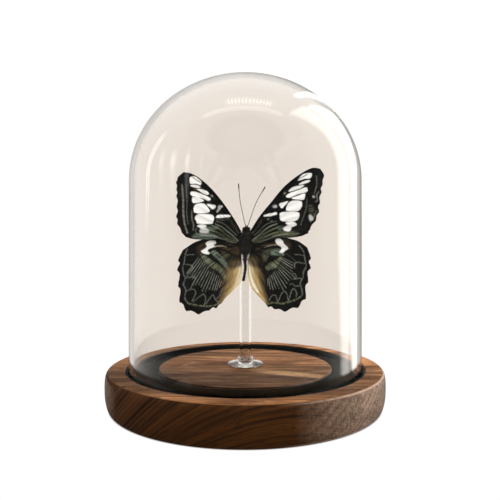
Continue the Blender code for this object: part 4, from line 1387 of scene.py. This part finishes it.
def ball(centre, radii, rows=28, sides=36):
    """An egg-shaped ball: centre + (a sin p cos q, b sin p sin q, c cos p)."""
    p = np.linspace(0.0, math.pi, rows)[:, None]
    q = np.linspace(0.0, math.tau, sides, endpoint=False)[None, :]
    unit = np.stack([np.sin(p) * np.cos(q), np.sin(p) * np.sin(q), np.cos(p) + 0.0 * q], axis=-1)
    return skin(np.array(centre) + unit * np.array(radii), poles=True)


class DOME_OT_body(bpy.types.Operator):
    """Make the body with its eyes, palps and coat of hairs"""

    bl_idname = "butterfly_dome.body"
    bl_label = "Body"

    def execute(self, context):
        settings = context.scene.dome_body
        grid = body_grid(220, 72)
        eyes = [ball((0.5 + side * 1.35, -6.6, 89.5), (0.68, 0.85, 0.95)) for side in (-1, 1)]
        palps = []
        for side in (-1, 1):
            route = spaced([(0.55 + side * 0.35, -7.0, 90.2), (0.55 + side * 0.42, -7.5, 90.9),
                            (0.55 + side * 0.3, -7.8, 91.6)], 16)
            radii = 0.30 * np.sqrt(np.linspace(1.0, 0.06, 17))
            palps.append(skin(swept(route, radii, 14)[:, ::-1], poles=True))
        shape = joined([skin(grid, poles=True), *eyes, *palps])
        add_piece("body_bare", shape, [body_skin("body_skin", settings)], ["body"])
        chance = np.random.default_rng(41)
        count = settings.hairs
        coated = grid[20:150]  # the head, the thorax and the waist
        rings = coated.reshape(-1, 3)
        centre = np.repeat(coated.mean(axis=1), grid.shape[1], axis=0)
        pick = chance.integers(0, len(rings), count)
        roots = rings[pick]
        out = roots - centre[pick]
        out /= np.maximum(np.linalg.norm(out, axis=1, keepdims=True), 1e-6)
        slant = out + np.array([0.0, 0.0, -0.75]) + 0.35 * chance.normal(size=(count, 3))
        slant /= np.linalg.norm(slant, axis=1, keepdims=True)
        longest = settings.hair_length / MM
        lengths = longest * chance.uniform(0.45, 1.0, count)
        lengths *= np.where(roots[:, 2] < 78.0, 0.75, 1.0)
        bend = 0.25 * chance.normal(size=(count, 3)) + np.array([0.0, 0.0, -0.2])
        shape = hairs(roots - 0.05 * out, slant, lengths, 0.042, bend)
        pale = chance.uniform(0.0, 1.0, count)
        waist_z = 75.6
        collar = (np.abs(roots[:, 2] - waist_z) < 1.0) & (np.abs(out[:, 0]) > 0.6)
        pale = np.repeat(pale + 3.0 * collar, len(shape[0]) // count)
        add_piece("body_hairs", shape, [hair_coat()], [], {"pale": pale})
        return {"FINISHED"}


class DOME_OT_antennae(bpy.types.Operator):
    """Make the two ringed antennae with their clubs"""

    bl_idname = "butterfly_dome.antennae"
    bl_label = "Antennae"

    def execute(self, context):
        settings = context.scene.dome_body
        material = body_skin("antenna_skin", settings, lighter=1.6)
        for name, points in ANTENNAE.items():
            route = spaced(points, 260)
            share = np.linspace(0.0, 1.0, 261)
            club = smoothstep(0.80, 0.95, share) * (1.0 - 0.75 * smoothstep(0.975, 1.0, share))
            ring_count = 42.0
            rings = 1.0 + 0.10 * np.sin(share * math.tau * ring_count)
            radii = (0.155 + 0.14 * club) * rings
            shape = skin(swept(route, radii, 14)[:, ::-1], poles=True)
            add_piece(name + "_ringed", shape, [material], [name])
        return {"FINISHED"}


class DOME_OT_legs(bpy.types.Operator):
    """Make the folded walking legs with their joints and spines"""

    bl_idname = "butterfly_dome.legs"
    bl_label = "Legs"

    def execute(self, context):
        material = body_skin("leg_skin", context.scene.dome_body, lighter=1.3)
        chance = np.random.default_rng(17)
        count = 54  # spines on a leg
        for name, points in LEGS.items():
            for side, sign in (("left", -1.0), ("right", 1.0)):
                route = spaced([(sign * x, y, z) for x, y, z in points], 150)
                share = np.linspace(0.0, 1.0, 151)
                joints = np.exp(-((share - 0.34) / 0.02)**2) + np.exp(-((share - 0.68) / 0.02)**2)
                toes = 0.16 * np.sin(share * math.tau * 14.0) * (share > 0.7)
                radii = (0.30 - 0.17 * share) * (1.0 + 0.35 * joints + toes)
                limb = skin(swept(route, radii, 14)[:, ::-1], poles=True)
                where = np.linspace(40, 146, count).astype(int)
                out = chance.normal(size=(count, 3)) * np.array([1.0, 1.0, 0.2])
                out = out / np.linalg.norm(out, axis=1, keepdims=True) + np.array([0, 0, -0.7])
                out /= np.linalg.norm(out, axis=1, keepdims=True)
                spines = hairs(route[where], out, np.full(count, 0.42), 0.03, 0.0 * out)
                shape = joined([limb, spines])
                add_piece(name + "_" + side + "_jointed", shape, [material], [name + "_" + side])
        return {"FINISHED"}


def studio_light(direction, strength):
    """Soft studio light as a function of direction: bright from above, from the right and from
    far left, and low from below."""
    x, _, z = xyz(direction)
    light = (spread(z, -0.25, 0.1, 0.42, 0.85) + spread(z, 0.05, 0.95, 0.0, 1.35)
             + spread(x, 0.25, 0.95, 0.0, 1.3) + spread(x, -0.75, -1.0, 0.0, 1.3))
    return light * strength


def mirror_light(direction):
    """What the glass mirrors. The room is dark towards -Y and pale towards +Y. On the right is
    a window of two panes between y / x = 0.15 and 1.1, which widens upwards and is cut off at
    the top by z = 1.77 x - 0.33 y. On the left are the folds of a curtain, at fixed values of
    t = (y + 0.2 z) / -x. A row of small lamps and a tube hang overhead, where y / z is about
    -0.07 and -0.25."""
    x, y, z = xyz(direction)
    room = spread(y, -0.35, 0.55, 0.07, 0.66)
    room = room * spread(y, 0.80, 0.97, 1.0, spread(x, -0.15, 0.15, 1.05, 0.5))
    room = room + spread(z, 0.45, 0.95, 0.0, 0.30)

    right = calculate("MAXIMUM", x, 0.02)
    s = y / right
    rise = z / right
    inner = s - spread(rise, 0.7, 1.7, 0.145, -0.205) - spread(rise, -0.5, 0.0, 0.2, 0.0)
    outer = spread(rise, 0.2, 2.2, 1.1, 2.9) - s
    panes = spread(inner, 0.0, 0.03) * spread(outer, 0.0, 0.08) - strip(s, 0.52, 0.66, 0.03)
    panes = calculate("MAXIMUM", panes, 0.0)
    glow = strip(inner, -0.35, 0.06, 0.3)
    over = z - (x * 1.77 - y * 0.33)
    window = (panes * 1.9 + glow * 0.12) * spread(over, -0.05, 0.0, 1.0, 0.0)
    upper_pane = strip(over, 0.2, 0.33, 0.03) * spread(y, 0.4, 0.46)
    window = (window + upper_pane * 2.2) * calculate("GREATER_THAN", x, 0.02)

    t = (y + z * 0.2) / calculate("MAXIMUM", x * -1.0, 0.02)
    leaning = t - z * 0.3
    curtain = strip(t, 1.2, 1.75, 0.1) * spread(z, 0.2, 0.5, 0.12, 0.0)
    arc = strip(t, 0.285, 0.35, 0.02) * strip(z, 0.02, 0.62, 0.12)
    curtain = curtain + arc * 3.2
    for low, high, strength in CURTAIN_FOLDS:
        fold = strip(leaning, low, high, 0.03) * strip(z, 0.08, 0.44, 0.14)
        curtain = curtain + fold * strength
    curtain = curtain * calculate("LESS_THAN", x, -0.02)

    height = calculate("MAXIMUM", z, 0.3)
    across = x / height
    along = y / height
    dots = spread(calculate("SINE", across * 160.0), 0.0, 0.8, 0.3, 1.0)
    row = strip(along, -0.14, 0.0, 0.02) * strip(across, -0.24, 0.32, 0.04) * dots
    tube = strip(along, -0.29, -0.20, 0.03) * strip(across, -0.64, 0.56, 0.1)
    lamps = (row * 2.8 + tube * 2.2) * calculate("GREATER_THAN", z, 0.5)
    return room + window + curtain + lamps


def sort_by_ray(tree, seen, behind, mirrored, inside, lighting):
    """Choose what a ray finds in the studio: seen directly, seen through glass, mirrored by the
    dome, mirrored by the clear pieces inside it, or light that falls on a surface."""
    camera_ray = add_node(tree, "ShaderNodeLightPath", "Is Camera Ray")

    def is_over(name, least):
        """1 where this count or flag of the ray is over the least value."""
        return calculate("GREATER_THAN", camera_ray.output(name), least)

    found = mix(is_over("Is Transmission Ray", 0.5), lighting, behind)
    mirrored = mix(is_over("Transmission Depth", 3.5), mirrored, inside)
    found = mix(is_over("Glossy Depth", 0.5), found, mirrored)
    found = mix(is_over("Diffuse Depth", 0.5), found, lighting)
    return mix(camera_ray, found, seen)


def tinted(tint, light):
    """A light with a tint."""
    return mix(1.0, (*tint, 1.0), light, "MULTIPLY")


class DOME_OT_studio(bpy.types.Operator):
    """Make the pale floor, the soft light and the camera"""

    bl_idname = "butterfly_dome.studio"
    bl_label = "Studio"

    def execute(self, context):
        scene = context.scene
        settings = scene.dome_studio
        white = (1.02, 1.02, 1.02, 1.0)
        behind = colour(settings.behind_glass)
        world = bpy.data.worlds.new("soft_studio")
        scene.world = world
        world.use_nodes = True
        tree = world.node_tree
        direction = add_node(tree, "ShaderNodeTexCoord", "Generated")
        lighting = studio_light(direction, settings.light)
        mirrored = tinted((1.0, 0.955, 0.905), mirror_light(direction))
        inside = spread(xyz(direction)[1], -0.4, 0.2, 0.42, 1.12)
        inside = tinted((1.0, 0.965, 0.925), inside)
        found = sort_by_ray(tree, white, behind, mirrored, inside, lighting)
        set_inputs(tree.nodes["Background"], {"Color": found})

        floor_mesh = bpy.data.meshes.new("floor")
        reach = 0.11
        floor_mesh.from_pydata([(-reach, -reach, 0), (reach, -reach, 0), (reach, reach, 0),
                                (-reach, reach, 0)], [], [(0, 1, 2, 3)])
        floor = bpy.data.objects.new("floor", floor_mesh)
        scene.collection.objects.link(floor)
        material, tree = new_material("pale_floor")
        tree.nodes.remove(tree.nodes["Principled BSDF"])
        # Painted shadow: a dark ring 1.3 mm wide round the base's underside, as the emitting floor gets
        # no cast shadow.
        painted_contact_shadow = spread(length_of(object_place(tree)),
                         BASE_UNDERSIDE_RADIUS * MM, (BASE_UNDERSIDE_RADIUS + 1.3) * MM)
        seen = mix(painted_contact_shadow, (0.10, 0.08, 0.07, 1.0), white)
        lighting = (0.42 * settings.light, 0.41 * settings.light, 0.40 * settings.light, 1.0)
        found = sort_by_ray(tree, seen, behind, (0.30, 0.29, 0.28, 1.0), (0.8, 0.77, 0.74, 1.0),
                            lighting)
        glow = add_node(tree, "ShaderNodeEmission", 0, {"Color": found})
        set_inputs(tree.nodes["Material Output"], {"Surface": glow})
        floor_mesh.materials.append(material)

        lens = bpy.data.cameras.new("camera")
        lens.lens = settings.lens
        lens.sensor_width = 36.0
        lens.shift_y = settings.shift
        lens.clip_start = 0.01
        camera = bpy.data.objects.new("camera", lens)
        camera.location = (settings.sideways, -settings.distance, settings.height)
        camera.rotation_euler = (math.radians(90.0), 0.0, 0.0)
        scene.collection.objects.link(camera)
        scene.camera = camera
        scene.view_settings.view_transform = "Standard"
        return {"FINISHED"}


class DOME_PT_panel(bpy.types.Panel):
    """Buttons for the pieces and their settings"""

    bl_idname = "DOME_PT_panel"
    bl_label = "Butterfly dome"
    bl_space_type = "VIEW_3D"
    bl_region_type = "UI"
    bl_category = "Butterfly dome"

    def draw(self, context):
        for operator in OPERATORS:
            self.layout.operator(operator.bl_idname)
        for key, group in SETTINGS:
            box = self.layout.box()
            settings = getattr(context.scene, key)
            for name in group.__annotations__:
                box.prop(settings, name)


OPERATORS = (
    DOME_OT_studio,
    DOME_OT_walnut_base,
    DOME_OT_groove_felt,
    DOME_OT_glass_dome,
    DOME_OT_clear_stem,
    DOME_OT_wings,
    DOME_OT_body,
    DOME_OT_antennae,
    DOME_OT_legs,
)


def register():
    """Register the settings, the operators and the panel."""
    for key, group in SETTINGS:
        bpy.utils.register_class(group)
        setattr(bpy.types.Scene, key, PointerProperty(type=group))
    for operator in OPERATORS:
        bpy.utils.register_class(operator)
    bpy.utils.register_class(DOME_PT_panel)


def unregister():
    """Remove what register added."""
    bpy.utils.unregister_class(DOME_PT_panel)
    for operator in reversed(OPERATORS):
        bpy.utils.unregister_class(operator)
    for key, group in reversed(SETTINGS):
        delattr(bpy.types.Scene, key)
        bpy.utils.unregister_class(group)


def main():
    """Make every piece."""
    register()
    bpy.ops.butterfly_dome.studio()
    bpy.ops.butterfly_dome.walnut_base()
    bpy.ops.butterfly_dome.groove_felt()
    bpy.ops.butterfly_dome.glass_dome()
    bpy.ops.butterfly_dome.clear_stem()
    bpy.ops.butterfly_dome.wings()
    bpy.ops.butterfly_dome.body()
    bpy.ops.butterfly_dome.antennae()
    bpy.ops.butterfly_dome.legs()


if __name__ == "__main__":
    main()
